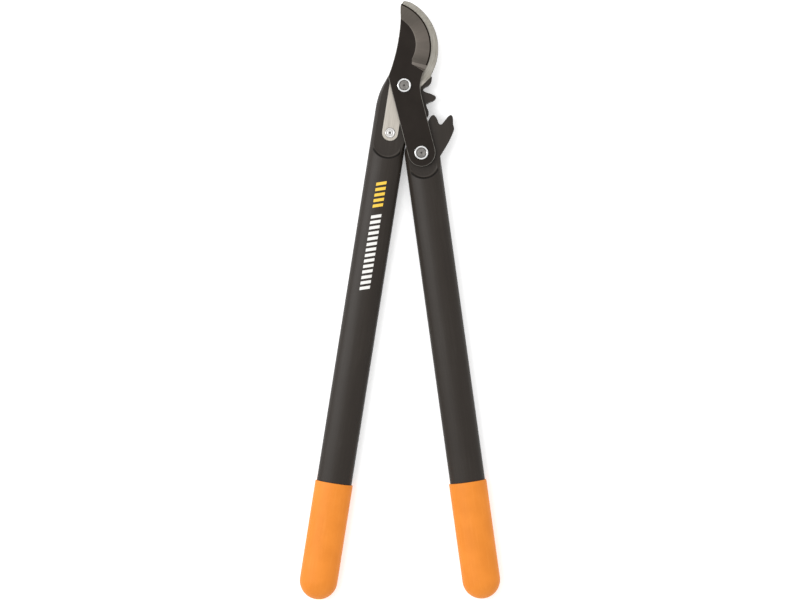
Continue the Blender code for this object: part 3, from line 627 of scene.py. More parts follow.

# %% [markdown]
# The nylon is mixed in layers: pale flecks of glass in the base colour, then light and dark from
# streaks, clouds and grain, then worn edges, the painted highlight in the cove and, last, the
# painted shade in the crease.

# %% Black nylon
NYLON_BASE = (0.0235, 0.0178, 0.0135, 1.0)
NYLON_FLECK = (0.038, 0.032, 0.026, 1.0)
NYLON_DEEP = grey(0.006, 0.1)
NYLON_PALE = grey(0.055, 0.1)
NYLON_WORN = (0.06, 0.054, 0.048, 1.0)
# painted highlight colour for the cove, then painted shade colour for the crease
NYLON_COVE_HIGHLIGHT = (0.06, 0.051, 0.043, 1.0)
CREASE_SHADE_COLOUR = (0.002, 0.0015, 0.001, 1.0)
TUBE_STREAK = (1.0, 26.0, 1.0)


def black_nylon(name, side):
    """Spark-eroded black moulding with flow streaks, flecks, a mould seam and worn edges."""
    rim, direction = lines[side][:2]
    nylon = Finish(name, Specular_IOR_Level=0.27)
    angle = angle_of(direction)
    across, along, height = nylon.parts(nylon.turned_place(rim, angle))
    streaks = nylon.noise(nylon.turned_place(rim, angle, TUBE_STREAK), 2.4 * MM)
    cloud = nylon.noise(nylon.place, 38.0 * MM, 4.0)
    grain = nylon.noise(nylon.place, 0.45 * MM, 2.0)
    fleck = nylon.noise(nylon.place, 1.3 * MM, 2.0).between(0.62, 0.76)
    cove_highlight, crease_shade = shoulder_masks(side, across, along, height)
    seam = 1 - height.math("ABSOLUTE").between(0.06 * MM, 0.2 * MM)
    worn = nylon.attribute("edge") * nylon.noise(nylon.place, 3.0 * MM).between(0.38, 0.62)
    shade = (streaks.between(0.3, 0.7, 0.93, 1.06) * cloud.between(0.3, 0.7, 0.94, 1.05)
             * grain.between(0.3, 0.7, 0.92, 1.08))
    colour = nylon.mix(fleck * 0.3, NYLON_BASE, NYLON_FLECK)
    tint = nylon.mix(shade > 1.0, NYLON_DEEP, NYLON_PALE)
    colour = nylon.mix((1 - shade).math("ABSOLUTE"), colour, tint)
    colour = nylon.mix(worn * 0.35, colour, NYLON_WORN)
    # painted highlight in the cove, then painted shade at its steep top
    colour = nylon.mix(cove_highlight * 0.5, colour, NYLON_COVE_HIGHLIGHT)
    colour = nylon.mix(crease_shade * 0.85, colour, CREASE_SHADE_COLOUR)
    roughness = 0.38 + streaks * 0.05 + grain * 0.06 + worn * 0.08 - fleck * 0.04
    roughness = roughness + crease_shade * 0.35
    return nylon.surface(colour, roughness, bumps=[
        (streaks, 0.02 * MM), (grain, 0.03 * MM), (seam, 0.06 * MM)])


nylon = {side: black_nylon("black_nylon_" + side, side) for side in lines}
print("nylon for", sorted(nylon))

# %% [markdown]
# Both handles are finished in one way: a copy of the moulding, with every edge broken by half a
# millimetre in three steps, which is the smallest radius that a nylon mould fills well. The heads
# and teeth could be modelled again, but any copy of theirs would mesh worse than the first.

# %% The two handle mouldings
MOULD_RADIUS = 0.5 * MM

for side in lines:
    node = side + "_handle"
    piece = broken_edges(side + "_moulding", node, MOULD_RADIUS, 3)
    fit(piece, node, body_of(node), nylon[side])

# %% [markdown]
# ## The grips
#
# A grip is a cup of orange plastic pushed over the neck of the tube. It is oval, a little prouder
# than the tube, and it ends in a dome. That is a turned shape with two radii, so the lathe makes
# it: inside wall, rounded rim, outside wall and dome, in one profile. A turn of the profile's axis
# lays it along the handle. Its colour is the pigment's, so it hardly varies: faint clouds and
# flow streaks, a fine grain, the mould's seam, and a rubbed end where it is put down.

# %% Orange plastic
ORANGE_DEEP = (0.74, 0.225, 0.019, 1.0)
ORANGE_LIGHT = (0.80, 0.25, 0.024, 1.0)
ORANGE_STREAK = (0.84, 0.29, 0.04, 1.0)
ORANGE_GRAIN = (0.7, 0.2, 0.016, 1.0)
ORANGE_RUBBED = (0.62, 0.22, 0.05, 1.0)
GRIP_STREAK = (1.0, 14.0, 1.0)


def orange_plastic(name, side):
    """Moulded orange plastic with faint clouds and streaks, and a rubbed end."""
    rim, direction, length = lines[side][:3]
    orange = Finish(name, Specular_IOR_Level=0.3)
    angle = angle_of(direction)
    along, height = orange.parts(orange.turned_place(rim, angle))[1:]
    cloud = orange.noise(orange.place, 26.0 * MM, 4.0)
    grain = orange.noise(orange.place, 0.5 * MM, 2.0)
    streaks = orange.noise(orange.turned_place(rim, angle, GRIP_STREAK), 2.0 * MM)
    seam = 1 - height.math("ABSOLUTE").between(0.05 * MM, 0.18 * MM)
    patchy = orange.noise(orange.place, 4.0 * MM).between(0.4, 0.7)
    rubbed = along.between(length * 0.93, length) * patchy
    colour = orange.mix(cloud.between(0.3, 0.7), ORANGE_DEEP, ORANGE_LIGHT)
    colour = orange.mix(streaks.between(0.45, 0.75) * 0.25, colour, ORANGE_STREAK)
    colour = orange.mix(grain.between(0.55, 0.8) * 0.18, colour, ORANGE_GRAIN)
    colour = orange.mix(rubbed * 0.18, colour, ORANGE_RUBBED)
    roughness = 0.42 + grain * 0.1 + cloud * 0.06 + rubbed * 0.12
    return orange.surface(colour, roughness, bumps=[
        (streaks, 0.012 * MM), (grain, 0.028 * MM), (seam, 0.05 * MM)])


orange = {side: orange_plastic("orange_plastic_" + side, side) for side in lines}
print("orange for", sorted(orange))

# %% [markdown]
# The grip's outside is a straight barrel and a quarter of an ellipse. The rim is rounded, as the
# mould leaves it, and the cup stays hollow behind it, with the neck of the tube inside.

# %% The two grips
GRIP_WALL = 2.9 * MM
GRIP_DOME = 22.0 * MM
GRIP_FLOOR = 1.0 * MM
RIM_ROUND = 0.7 * MM
RIM_RUN = 12.0 * MM
BARREL_ROWS = 8
DOME_ROWS = 21


def grip_profile(length, half_width, half_depth):
    """Half width, half depth and distance from the rim, from the cup's floor out to the dome."""
    inside = (half_width - GRIP_WALL, half_depth - GRIP_WALL)
    floor = length - GRIP_DOME - GRIP_FLOOR
    corners = [(0.0, 0.0, floor), (*inside, floor), (*inside, 0.0), (half_width, half_depth, 0.0)]
    profile = rounded(corners + [(half_width, half_depth, RIM_RUN)], RIM_ROUND, 4)
    barrel = length - GRIP_DOME - RIM_RUN
    for share in np.linspace(0.0, 1.0, BARREL_ROWS + 1)[1:]:
        profile.append((half_width, half_depth, RIM_RUN + share * barrel))
    for angle in np.radians(np.linspace(0.0, 90.0, DOME_ROWS + 1)[1:]):
        profile.append((half_width * math.cos(angle), half_depth * math.cos(angle),
                        length - GRIP_DOME + GRIP_DOME * math.sin(angle)))
    return profile


for side, (rim, direction, length, half_width, half_depth) in lines.items():
    node = side + "_grip"
    # the lathe's axis is Z: tip it down to -Y, then lean it
    lean = math.atan2(direction.x, -direction.y)
    tipped = (math.radians(90.0), 0.0, lean)
    profile = grip_profile(length, half_width, half_depth)
    piece = turn(side + "_orange_grip", profile, rim, orange[side], tipped, 128)
    fit(piece, node, body_of(node), orange[side])

# %% [markdown]
# ## The blade and its strap
#
# Blade and strap are one plate of hardened steel with a dark low-friction coating. After coating,
# a wheel grinds the cutting bevel, and bare steel shows there. So one material has two states, and
# the mask between them is a number on each face. A painted mask would blur along the line where
# the wheel stopped, and a face doesn't. A bevel face looks up, but not quite: its normal leans by
# ten to fifteen degrees. The short run-out at the heel, where the wheel lifts off, has facets of
# its own and is painted paler, a painted highlight. The broken edges of the plate lean by 45
# degrees, and they wear.

# %% Which faces the wheel has cut, and which edges are worn
HEEL_LEFT, HEEL_LOW, HEEL_TOP = 9.5 * MM, 17.0 * MM, 24.0 * MM
COATED, GROUND, RUN_OUT = 0.0, 1.0, 2.0
STEEP, CHAMFER_UP, BEVEL_UP, FLAT_UP = 0.5, 0.85, 0.9, 0.9995


def wheel_cut(face):
    """Coated, ground, or the wheel's run-out at the heel, told by a face's place and lean."""
    centre = face.calc_center_median() - pivot_a
    at_heel = centre.x > HEEL_LEFT and HEEL_LOW < centre.y < HEEL_TOP
    if at_heel and STEEP < face.normal.z < FLAT_UP:
        return RUN_OUT
    return GROUND if BEVEL_UP < face.normal.z < FLAT_UP else COATED


def plate_edge(face):
    """True for the broken edges of a plate."""
    return STEEP < abs(face.normal.z) < CHAMFER_UP and wheel_cut(face) == COATED


print("run-out between", *in_mm((HEEL_LOW, HEEL_TOP)), "mm above pivot A")

# %% [markdown]
# The marks of the wheel follow arcs: they run across the cutting edge, and the edge is an arc
# itself. Two circles are fitted to the points of the working blade. One goes through the cutting
# edge, at the plate's back face. The other goes through the inner end of the bevel, on the front.

# %% The two arcs of the bevel
ABOVE_HEEL = 29.0 * MM
EDGE_SIDE = 12.0 * MM
SAME_LEVEL = 0.1 * MM
BEVEL_SHARES = (0.57, 0.7)


def circle_through(points):
    """Centre and radius of the circle that fits points in plan best."""
    plan = np.array([(point[0], point[1]) for point in points])
    rows = np.column_stack([2.0 * plan, np.ones(len(plan))])
    x, y, rest = np.linalg.lstsq(rows, (plan ** 2).sum(axis=1), rcond=None)[0]
    return Vector((x, y, 0.0)), math.sqrt(rest + x * x + y * y)


blade_low, blade_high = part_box("blade")
blade_points = [vertex.co for vertex in frame["nodes"]["blade"].data.vertices]
above_heel = [point for point in blade_points if point.y > pivot_a.y + ABOVE_HEEL]
cutting = [point for point in above_heel
           if point.z < blade_low.z + SAME_LEVEL and point.x > pivot_a.x + EDGE_SIDE]
edge_centre, edge_radius = circle_through(cutting)
on_front = [point for point in above_heel if point.z > blade_high.z - SAME_LEVEL]
least, most = (share * edge_radius for share in BEVEL_SHARES)
inner = [point for point in on_front if least < (point - edge_centre).to_2d().length < most]
grind_centre, grind_radius = circle_through(inner)
print("edge arc about", in_mm((edge_centre - pivot_a).to_2d()), "radius", in_mm([edge_radius]))
print("grind arc about", in_mm((grind_centre - pivot_a).to_2d()), "radius", in_mm([grind_radius]))

# %% [markdown]
# Around those centres, any point has a bearing and a radius. A noise that is fine along the
# bearing and stretched along the radius gives marks across the edge; the other way round, it gives
# streaks along the edge.

# %% Coordinates that follow an arc
def around(steel, centre):
    """Bearing and radius about an upright line, and the height."""
    across, up, height = steel.parts(steel.turned_place(centre, 0.0))
    bearing = steel.node("ShaderNodeMath", {"operation": "ARCTAN2"}, {0: up, 1: across})
    return bearing, (across * across + up * up).math("SQRT"), height


def arc_place(steel, bearing, radius, height, along, outwards):
    """Coordinates that follow an arc, scaled along it and outwards from it."""
    sockets = {0: bearing * (edge_radius * along), 1: radius * outwards, 2: height * outwards}
    return steel.node("ShaderNodeCombineXYZ", None, sockets)


print("a degree on the edge is", in_mm([math.radians(1.0) * edge_radius])[0], "mm")

# %% [markdown]
# On the bevel the wheel's marks are faint. The last millimetre and a half along the cutting edge
# is painted nearly black, a painted shadow where the edge lies over the hook. The inner end of
# the bevel has a thin painted highlight, and the middle of the bevel is painted lighter than its
# ends, a painted highlight too. The coating is black with a touch of brown, slightly pebbled, and
# it wears off along the plate's edges.

# %% Coated and ground blade steel
# width of the painted shadow along the cutting edge, and its fade
EDGE_SHADE_WIDTH = 1.5 * MM
EDGE_SHADE_FADE = 0.25 * MM
RIM_WIDTH = 0.9 * MM
MIDDLE_FROM = (math.radians(-24.0), math.radians(-2.0))
MIDDLE_TO = (math.radians(12.0), math.radians(48.0))
BARE_DARK = (0.110, 0.096, 0.082, 1.0)
BARE_LIGHT = (0.136, 0.120, 0.103, 1.0)
# painted highlight colour for the middle of the bevel
BARE_MIDDLE_HIGHLIGHT = (0.22, 0.19, 0.165, 1.0)
BARE_STAIN = (0.1, 0.09, 0.08, 1.0)
# painted highlight colour for the inner rim of the bevel
RIM_HIGHLIGHT = (0.3, 0.27, 0.24, 1.0)
# painted highlight colour for the run-out at the heel
RUN_OUT_HIGHLIGHT = (0.21, 0.185, 0.163, 1.0)
# painted shadow colour for the band along the cutting edge
EDGE_SHADE_STEEL = (0.012, 0.008, 0.006, 1.0)
COAT_DARK = (0.0105, 0.0066, 0.0042, 1.0)
COAT_LIGHT = (0.014, 0.0096, 0.0066, 1.0)
COAT_PEBBLE = (0.024, 0.02, 0.017, 1.0)
COAT_WORN = (0.3, 0.285, 0.26, 1.0)


def blade_steel(name):
    """Dark coating where the face is coated, wheel-marked bare steel where it is ground."""
    steel = Finish(name, Specular_IOR_Level=0.17)
    state = steel.attribute("ground")
    ground = state.math("MINIMUM", 1.0)
    run_out = state > 1.5
    bearing, radius, height = around(steel, edge_centre)
    marks = steel.noise(arc_place(steel, bearing, radius, height, 1.0, 0.06), 0.5 * MM, 2.0)
    broad = steel.noise(arc_place(steel, bearing, radius, height, 1.0, 0.2), 6.0 * MM, 2.0)
    cloud = steel.noise(steel.place, 16.0 * MM, 4.0)
    pebble = steel.noise(steel.place, 0.35 * MM, 2.0)
    patchy = steel.noise(steel.place, 6.0 * MM, 2.0).between(0.3, 0.6, 0.55, 1.0)
    worn = steel.attribute("edge") * patchy
    # painted highlight: the middle of the bevel is lighter
    middle = bearing.between(*MIDDLE_FROM) * (1 - bearing.between(*MIDDLE_TO))
    # painted shadow: a dark band just inside the cutting edge
    edge_shade = radius.between(edge_radius - EDGE_SHADE_WIDTH - EDGE_SHADE_FADE, edge_radius - EDGE_SHADE_WIDTH)
    # painted highlight: a thin bright rim at the inner end of the bevel
    inwards = around(steel, grind_centre)[1]
    rim = 1 - inwards.between(grind_radius + RIM_WIDTH * 0.5, grind_radius + RIM_WIDTH)
    bare = steel.mix(marks.between(0.3, 0.7), BARE_DARK, BARE_LIGHT)
    bare = steel.mix(middle * 0.55, bare, BARE_MIDDLE_HIGHLIGHT)
    bare = steel.mix(broad.between(0.4, 0.7) * 0.2, bare, BARE_STAIN)
    bare = steel.mix(rim * 0.35, bare, RIM_HIGHLIGHT)
    # painted highlight: the run-out is paler
    bare = steel.mix(run_out, bare, RUN_OUT_HIGHLIGHT)
    bare = steel.mix(edge_shade * (1 - run_out), bare, EDGE_SHADE_STEEL)
    dark = steel.mix(cloud.between(0.3, 0.7), COAT_DARK, COAT_LIGHT)
    dark = steel.mix(pebble.between(0.55, 0.8) * 0.3, dark, COAT_PEBBLE)
    dark = steel.mix(worn * 0.7, dark, COAT_WORN)
    colour = steel.mix(ground, dark, bare)
    rough_coat = 0.4 + pebble * 0.08 + cloud * 0.05
    rough_bare = 0.3 + marks * 0.12
    roughness = rough_coat * (1 - ground) + rough_bare * ground
    return steel.surface(colour, roughness, ground * 0.95 + worn * (1 - ground) * 0.6, bumps=[
        (marks * ground, 0.006 * MM), (pebble * (1 - ground), 0.016 * MM)])


coated = blade_steel("coated_blade_steel")
print(coated.name, "with", len(coated.node_tree.nodes), "nodes")

# %% [markdown]
# Both coated plates are stamped and then tumbled, which breaks their edges by little more than a
# tenth of a millimetre. The link plate behind the heads is never ground.

# %% The blade and the rear link plate
TUMBLED_RADIUS = 0.14 * MM

blade = broken_edges("coated_blade", "blade", TUMBLED_RADIUS, 2, wheel_cut, plate_edge)
fit(blade, "blade", "blade", coated)
link = broken_edges("coated_link_plate", "rear_link_plate", TUMBLED_RADIUS, 2, None, plate_edge)
fit(link, "rear_link_plate", "blade", coated)

# %% [markdown]
# ## The hook
#
# The hook and its tang are one plate of plain steel, let into a pocket in the left handle. The
# tang is ground flat and bright, with the wheel's marks along it. The jaw is ground later and
# looks duller: streaks run along its curve, and short cross marks are left near its tip. Two
# materials would need a cut across the plate. One material holds both finishes instead, and the
# height above the pivot decides between them. The change itself is hidden under the blade.

# %% Ground steel
JAW_STARTS = (2.0 * MM, 8.0 * MM)
NEAR_TIP = (math.radians(5.0), math.radians(40.0))
TANG_STREAK = (1.0, 45.0, 1.0)
TANG_DARK = (0.45, 0.415, 0.365, 1.0)
TANG_LIGHT = (0.575, 0.535, 0.48, 1.0)
TANG_SHADE = (0.41, 0.38, 0.335, 1.0)
JAW_DARK = (0.25, 0.234, 0.2, 1.0)
JAW_LIGHT = (0.385, 0.362, 0.315, 1.0)
JAW_CLOUD = (0.46, 0.45, 0.415, 1.0)
# painted shade colour for the hook's broken edges
HOOK_EDGE_SHADE = (0.17, 0.16, 0.145, 1.0)


def ground_steel(name):
    """Bright along the tang, duller and streaked along the curve of the jaw."""
    rim, direction = lines["left"][:2]
    steel = Finish(name)
    jaw = steel.parts(steel.turned_place(pivot_a, 0.0))[1].between(*JAW_STARTS)
    along = steel.turned_place(rim, angle_of(direction), TANG_STREAK)
    lines_along = steel.noise(along, 0.5 * MM, 3.0)
    wide_along = steel.noise(along, 2.6 * MM, 2.0)
    bearing, radius, height = around(steel, edge_centre)
    cross = steel.noise(arc_place(steel, bearing, radius, height, 1.0, 0.1), 0.7 * MM, 2.0)
    streaks = steel.noise(arc_place(steel, bearing, radius, height, 0.05, 1.0), 0.8 * MM, 2.0)
    near_tip = bearing.between(*NEAR_TIP)
    marks = cross * near_tip + streaks * (1 - near_tip)
    cloud = steel.noise(steel.place, 12.0 * MM, 4.0)
    bright = steel.mix(lines_along.between(0.3, 0.7), TANG_DARK, TANG_LIGHT)
    bright = steel.mix(wide_along.between(0.45, 0.7) * 0.3, bright, TANG_SHADE)
    dull = steel.mix(marks.between(0.3, 0.7), JAW_DARK, JAW_LIGHT)
    dull = steel.mix(cloud.between(0.4, 0.7) * 0.3, dull, JAW_CLOUD)
    colour = steel.mix(jaw, bright, dull)
    edge = steel.attribute("edge")
    # painted shade: the broken edges are darkened
    colour = steel.mix(edge * 0.65, colour, HOOK_EDGE_SHADE)
    fine = lines_along * (1 - jaw) + marks * jaw
    roughness = 0.34 + fine * 0.14 + edge * 0.15
    return steel.surface(colour, roughness, 0.92 + fine * 0.05, bumps=[(fine, 0.01 * MM)])


hook_steel = ground_steel("ground_hook_steel")
hook = broken_edges("ground_hook", "hook", TUMBLED_RADIUS, 2, None, plate_edge)
fit(hook, "hook", "left_handle", hook_steel)

# %% [markdown]
# ## Pins, collars, washers and the rivet
#
# Each pivot is a steel pin. Its flat head is behind the tool, and its front end is spread like a
# rivet inside a bright ring, the collar. The spread end is faced on a lathe, which leaves fine
# rings and a small dimple where the tool point ends, painted dark as shade in its hollow. The
# rings are geometry as well as material: the profile rises and falls by two hundredths of a
# millimetre. A dark band round the rim of the spread end is painted shadow of the gap to the
# collar. Between the moving parts lie nylon washers, and each handle turns on a steel bush.

# %% Turned steel, bright or grey
# painted shade colour for the dimple's hollow
DIMPLE_SHADE_STEEL = (0.02, 0.018, 0.016, 1.0)
# painted shadow colour for the rim of the spread end, next to the gap to the collar
GAP_SHADE_STEEL = (0.06, 0.055, 0.05, 1.0)
GAP_SHADE_FADE = 0.3 * MM


def turned_steel(name, centre, light, dark, roughness, dimple=0.0, gap_shade=0.0):
    """Lathe-turned steel: rings round a centre, painted shade in a dimple and beyond a radius."""
    steel = Finish(name)
    bearing, radius, height = around(steel, (centre[0], centre[1], 0.0))
    ringed = steel.node("ShaderNodeCombineXYZ", None, {0: radius, 1: bearing * 0.0006, 2: height})
    rings = steel.noise(ringed, 0.28 * MM, 3.0)
    grain = steel.noise(steel.place, 0.5 * MM, 4.0)
    cloud = steel.noise(steel.place, 3.0 * MM, 3.0)
    shade = (rings * 0.45 + grain * 0.3 + cloud * 0.25).between(0.38, 0.64)
    colour = steel.mix(shade, dark, light)
    if dimple:
        # painted shade: the dimple is darkened
        dimple_shade = 1 - (radius + (grain - 0.5) * (0.6 * dimple)).between(dimple * 0.5, dimple)
        colour = steel.mix(dimple_shade * 0.85, colour, DIMPLE_SHADE_STEEL)
    # painted shadow: a dark band beyond the given radius
    if gap_shade:
        beyond = radius.between(gap_shade - GAP_SHADE_FADE, gap_shade)
        colour = steel.mix(beyond * 0.6, colour, GAP_SHADE_STEEL)
    worn = grain.between(0.55, 0.75)
    return steel.surface(colour, roughness + rings * 0.12 + worn * 0.05, 0.95 - worn * 0.05,
                         bumps=[(rings, 0.012 * MM), (grain, 0.006 * MM)])


print("turned steel fades to its skin over", in_mm([GAP_SHADE_FADE])[0], "mm")

# %% [markdown]
# Washer nylon is milky: light goes a millimetre into it before it comes back, so a little
# subsurface scattering belongs to it. A plain white would look like paint.

# %% Pale nylon
def pale_nylon(name):
    """Milky nylon of the washers."""
    nylon = Finish(name, Subsurface_Weight=0.15, Subsurface_Scale=1.0 * MM)
    cloud = nylon.noise(nylon.place, 5.0 * MM, 3.0)
    grain = nylon.noise(nylon.place, 0.4 * MM, 2.0)
    colour = nylon.mix(cloud, (0.62, 0.60, 0.55, 1.0), (0.74, 0.725, 0.68, 1.0))
    return nylon.surface(colour, 0.4 + grain * 0.15, bumps=[(grain, 0.01 * MM)])


washer_nylon = pale_nylon("washer_nylon")
print(washer_nylon.name, "with", len(washer_nylon.node_tree.nodes), "nodes")

# %% [markdown]
# Two shapes come back on these pieces. The faced end has rings with a valley every half
# millimetre or so, and ends in the dimple. A washer or a bush is a flat ring with small round
# corners, whose sizes are read from its working solid.

# %% Faced ends and flat rings
RING_DEPTH = 0.02 * MM
RING_PITCH = 0.55 * MM
STEPS_PER_RING = 4
RING_ROUND = 0.15 * MM
DIMPLE_RIM = 1.3 * MM
DIMPLE_WALL = (0.9 * MM, 0.4 * MM)
DIMPLE_DEPTH = 0.55 * MM


def faced_end(radius, height):
    """Fine rings of a turned face, from its rim inwards to a dimple."""
    width = radius - DIMPLE_RIM
    count = int(width / RING_PITCH) * STEPS_PER_RING
    face = []
    for k in range(count + 1):
        depth = RING_DEPTH * (0.5 - 0.5 * math.cos(2.0 * math.pi * k / STEPS_PER_RING))
        face.append((radius - width * k / count, height - depth))
    wall_radius, wall_depth = DIMPLE_WALL
    return face + [(wall_radius, height - wall_depth), (0.0, height - DIMPLE_DEPTH)]


def flat_ring(node, centre):
    """Closed profile of a washer or bush with rounded corners, from its box and its hole."""
    low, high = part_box(node)
    outer = (high.x - low.x) / 2.0
    points = [vertex.co for vertex in frame["nodes"][node].data.vertices]
    inner = min((point.to_2d() - centre.to_2d()).length for point in points)
    corners = round_profile([(inner, low.z), (outer, low.z), (outer, high.z), (inner, high.z)])
    return rounded(corners, RING_ROUND, 2, closed=True)


print("rings", in_mm([RING_PITCH])[0], "mm apart")

# %% [markdown]
# Each pivot has four pieces on one axis besides its bush, and one function makes them for both.
# The pin's head stays behind the tool. Its front end is wider than its shank, because it was
# spread into the collar, and the collar is cut as a cup that leaves a clearance round it.

# %% Profiles of a pin and its collar
CHAMFER = 0.5 * MM
HEAD_HEIGHT = 2.2 * MM
COLLAR_FLOOR = 0.7 * MM
COLLAR_WALL = 1.9 * MM
UPSET_STEP = 0.7 * MM
UPSET_EDGE = (0.5 * MM, 0.4 * MM)
FACE_MARGIN = 0.75 * MM
# where the painted shadow next to the collar begins, inside the spread end's rim
GAP_SHADE_MARGIN = 0.6 * MM
PIN_DIMPLE = 1.35 * MM
PIN_ROUND = 0.18 * MM
COLLAR_ROUND = 0.6 * MM
BORE_GAP = 0.3 * MM
FIT = 0.2 * MM


def pin_profile(low, high, step_back, head, upset, shank):
    """From the back of the head, along the shank and the spread end, to the faced end."""
    head_front = low + HEAD_HEIGHT
    edge_in, edge_down = UPSET_EDGE
    corners = [(0.0, low), (head - CHAMFER, low), (head, low + CHAMFER), (head, head_front),
               (shank, head_front), (shank, step_back), (upset, step_back),
               (upset, high - edge_down), (upset - edge_in, high)]
    face = round_profile(faced_end(upset - FACE_MARGIN, high))
    return rounded(round_profile(corners), PIN_ROUND) + [Vector(point) for point in face]


def collar_profile(low, high, head, cup, bore):
    """Closed profile of a cup with a hole in its floor."""
    floor = low + COLLAR_FLOOR
    corners = [(bore, low), (head, low), (head, high), (cup, high), (cup, floor), (bore, floor)]
    return rounded(round_profile(corners), COLLAR_ROUND, 5, closed=True)


print("collar wall", in_mm([COLLAR_WALL])[0], "mm, fit", in_mm([FIT])[0], "mm")

# %% [markdown]
# The outer radius is read from the working pin, and every other radius follows inwards from it:
# the collar's wall, the fit, the spread end and the shank.

# %% The two pivots
def make_pivot(prefix, centre):
    """Pin, collar and two washers on one axis."""
    low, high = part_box(prefix + "_pin")
    collar_low, collar_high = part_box(prefix + "_collar")
    head = (high.x - low.x) / 2.0
    upset = head - COLLAR_WALL - FIT
    shank = upset - UPSET_STEP
    step_back = collar_low.z + COLLAR_FLOOR + FIT
    place = (centre.x, centre.y, 0.0)
    profile = pin_profile(low.z, high.z, step_back, head, upset, shank)
    grey_steel = turned_steel(prefix + "_grey_steel", centre, grey(0.3, 0.05), grey(0.13, 0.05),
                              0.34, dimple=PIN_DIMPLE, gap_shade=upset - GAP_SHADE_MARGIN)
    pin = turn(prefix + "_turned_pin", profile, place, grey_steel)
    fit(pin, prefix + "_pin", "blade", grey_steel)

    profile = collar_profile(collar_low.z, collar_high.z, head, upset + FIT, shank + BORE_GAP)
    bright = turned_steel(prefix + "_bright_steel", centre, grey(0.95), grey(0.86), 0.12)
    collar = turn(prefix + "_bright_collar", profile, place, bright)
    fit(collar, prefix + "_collar", "blade", bright)
    for where in ("_front_washer", "_rear_washer"):
        node = prefix + where
        washer = turn(prefix + where + "_ring", flat_ring(node, centre), place, washer_nylon)
        fit(washer, node, "blade", washer_nylon)


make_pivot("blade_pivot", pivot_a)
make_pivot("gear_pivot", pivot_b)

# %% [markdown]
# The bushes are sleeves of plated steel, pressed into the heads and hidden once the tool is
# together. They are turned rings like the washers, only taller.

# %% The bushes
for node, centre in (("left_pivot_bush", pivot_a), ("right_pivot_bush", pivot_b)):
    light, dark = grey(0.55, 0.02), grey(0.4, 0.02)
    plated = turned_steel(node + "_plated_steel", centre, light, dark, 0.3)
    bush = turn(node + "_sleeve", flat_ring(node, centre), (centre.x, centre.y, 0.0), plated)
    fit(bush, node, body_of(node), plated)

# %% [markdown]
# One more fastener holds the hook's tang in its pocket: a rivet with a low head, a raised ring
# and a small centre hole, and a washer behind it. The front of the head is given as distances
# from the axis and depths under the top, because that is how such a head is read off a drawing.

# %% The rivet and its washer
HEAD_FRONT_MM = [(0.0, 0.8), (0.55, 0.7), (0.8, 0.25), (1.5, 0.0), (2.9, 0.0), (3.3, 0.3),
                 (4.0, 0.3), (4.4, 0.12)]
RIVET_HEAD = 1.6 * MM
RIVET_SHANK = 2.6 * MM
RIVET_SPREAD = 4.16 * MM
RIVET_ROUND = 0.2 * MM
RIVET_DIMPLE = 1.75 * MM
rivet_low, rivet_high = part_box("hook_rivet")
rivet_centre = (rivet_low + rivet_high) / 2.0
rivet_head = (rivet_high.x - rivet_low.x) / 2.0


def rivet_profile():
    """From the pit in the front of the head, round the head, down the shank to the spread end."""
    top, end = rivet_high.z, rivet_low.z
    under = top - RIVET_HEAD
    washer_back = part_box("hook_rivet_washer")[0].z - FIT
    corners = [(radius * MM, top - depth * MM) for radius, depth in HEAD_FRONT_MM]
    corners += [(rivet_head - 0.5 * MM, top - 0.15 * MM), (rivet_head, top - 0.5 * MM),
                (rivet_head, under), (RIVET_SHANK, under), (RIVET_SHANK, washer_back),
                (RIVET_SPREAD, washer_back), (RIVET_SPREAD, end + 0.4 * MM),
                (RIVET_SPREAD * 0.8, end), (0.0, end)]
    return rounded(round_profile(corners), RIVET_ROUND)


rivet_steel = turned_steel("rivet_steel", rivet_centre, grey(0.8, 0.02), grey(0.52, 0.03), 0.24,
                           dimple=RIVET_DIMPLE)
on_axis = (rivet_centre.x, rivet_centre.y, 0.0)
rivet = turn("turned_hook_rivet", rivet_profile(), on_axis, rivet_steel)
fit(rivet, "hook_rivet", "left_handle", rivet_steel)
ring = flat_ring("hook_rivet_washer", rivet_centre)
washer = turn("rivet_washer_ring", ring, on_axis, rivet_steel)
fit(washer, "hook_rivet_washer", "left_handle", rivet_steel)

# %% [markdown]
# ## The printed panel
#
# A tool like this carries a print on one handle. Here it is a plain hatch of slanting bars, a few
# in yellow and a longer row in white. A mask in the nylon could draw them too, but pad-printed
# ink has a thickness, and it can be felt. The ink lies on a curved surface, so each bar is a thin
# block that takes the height of the tube's oval under it. Geometry Nodes lay the bars out in a
# row, lift them to the oval and turn the row along the handle.

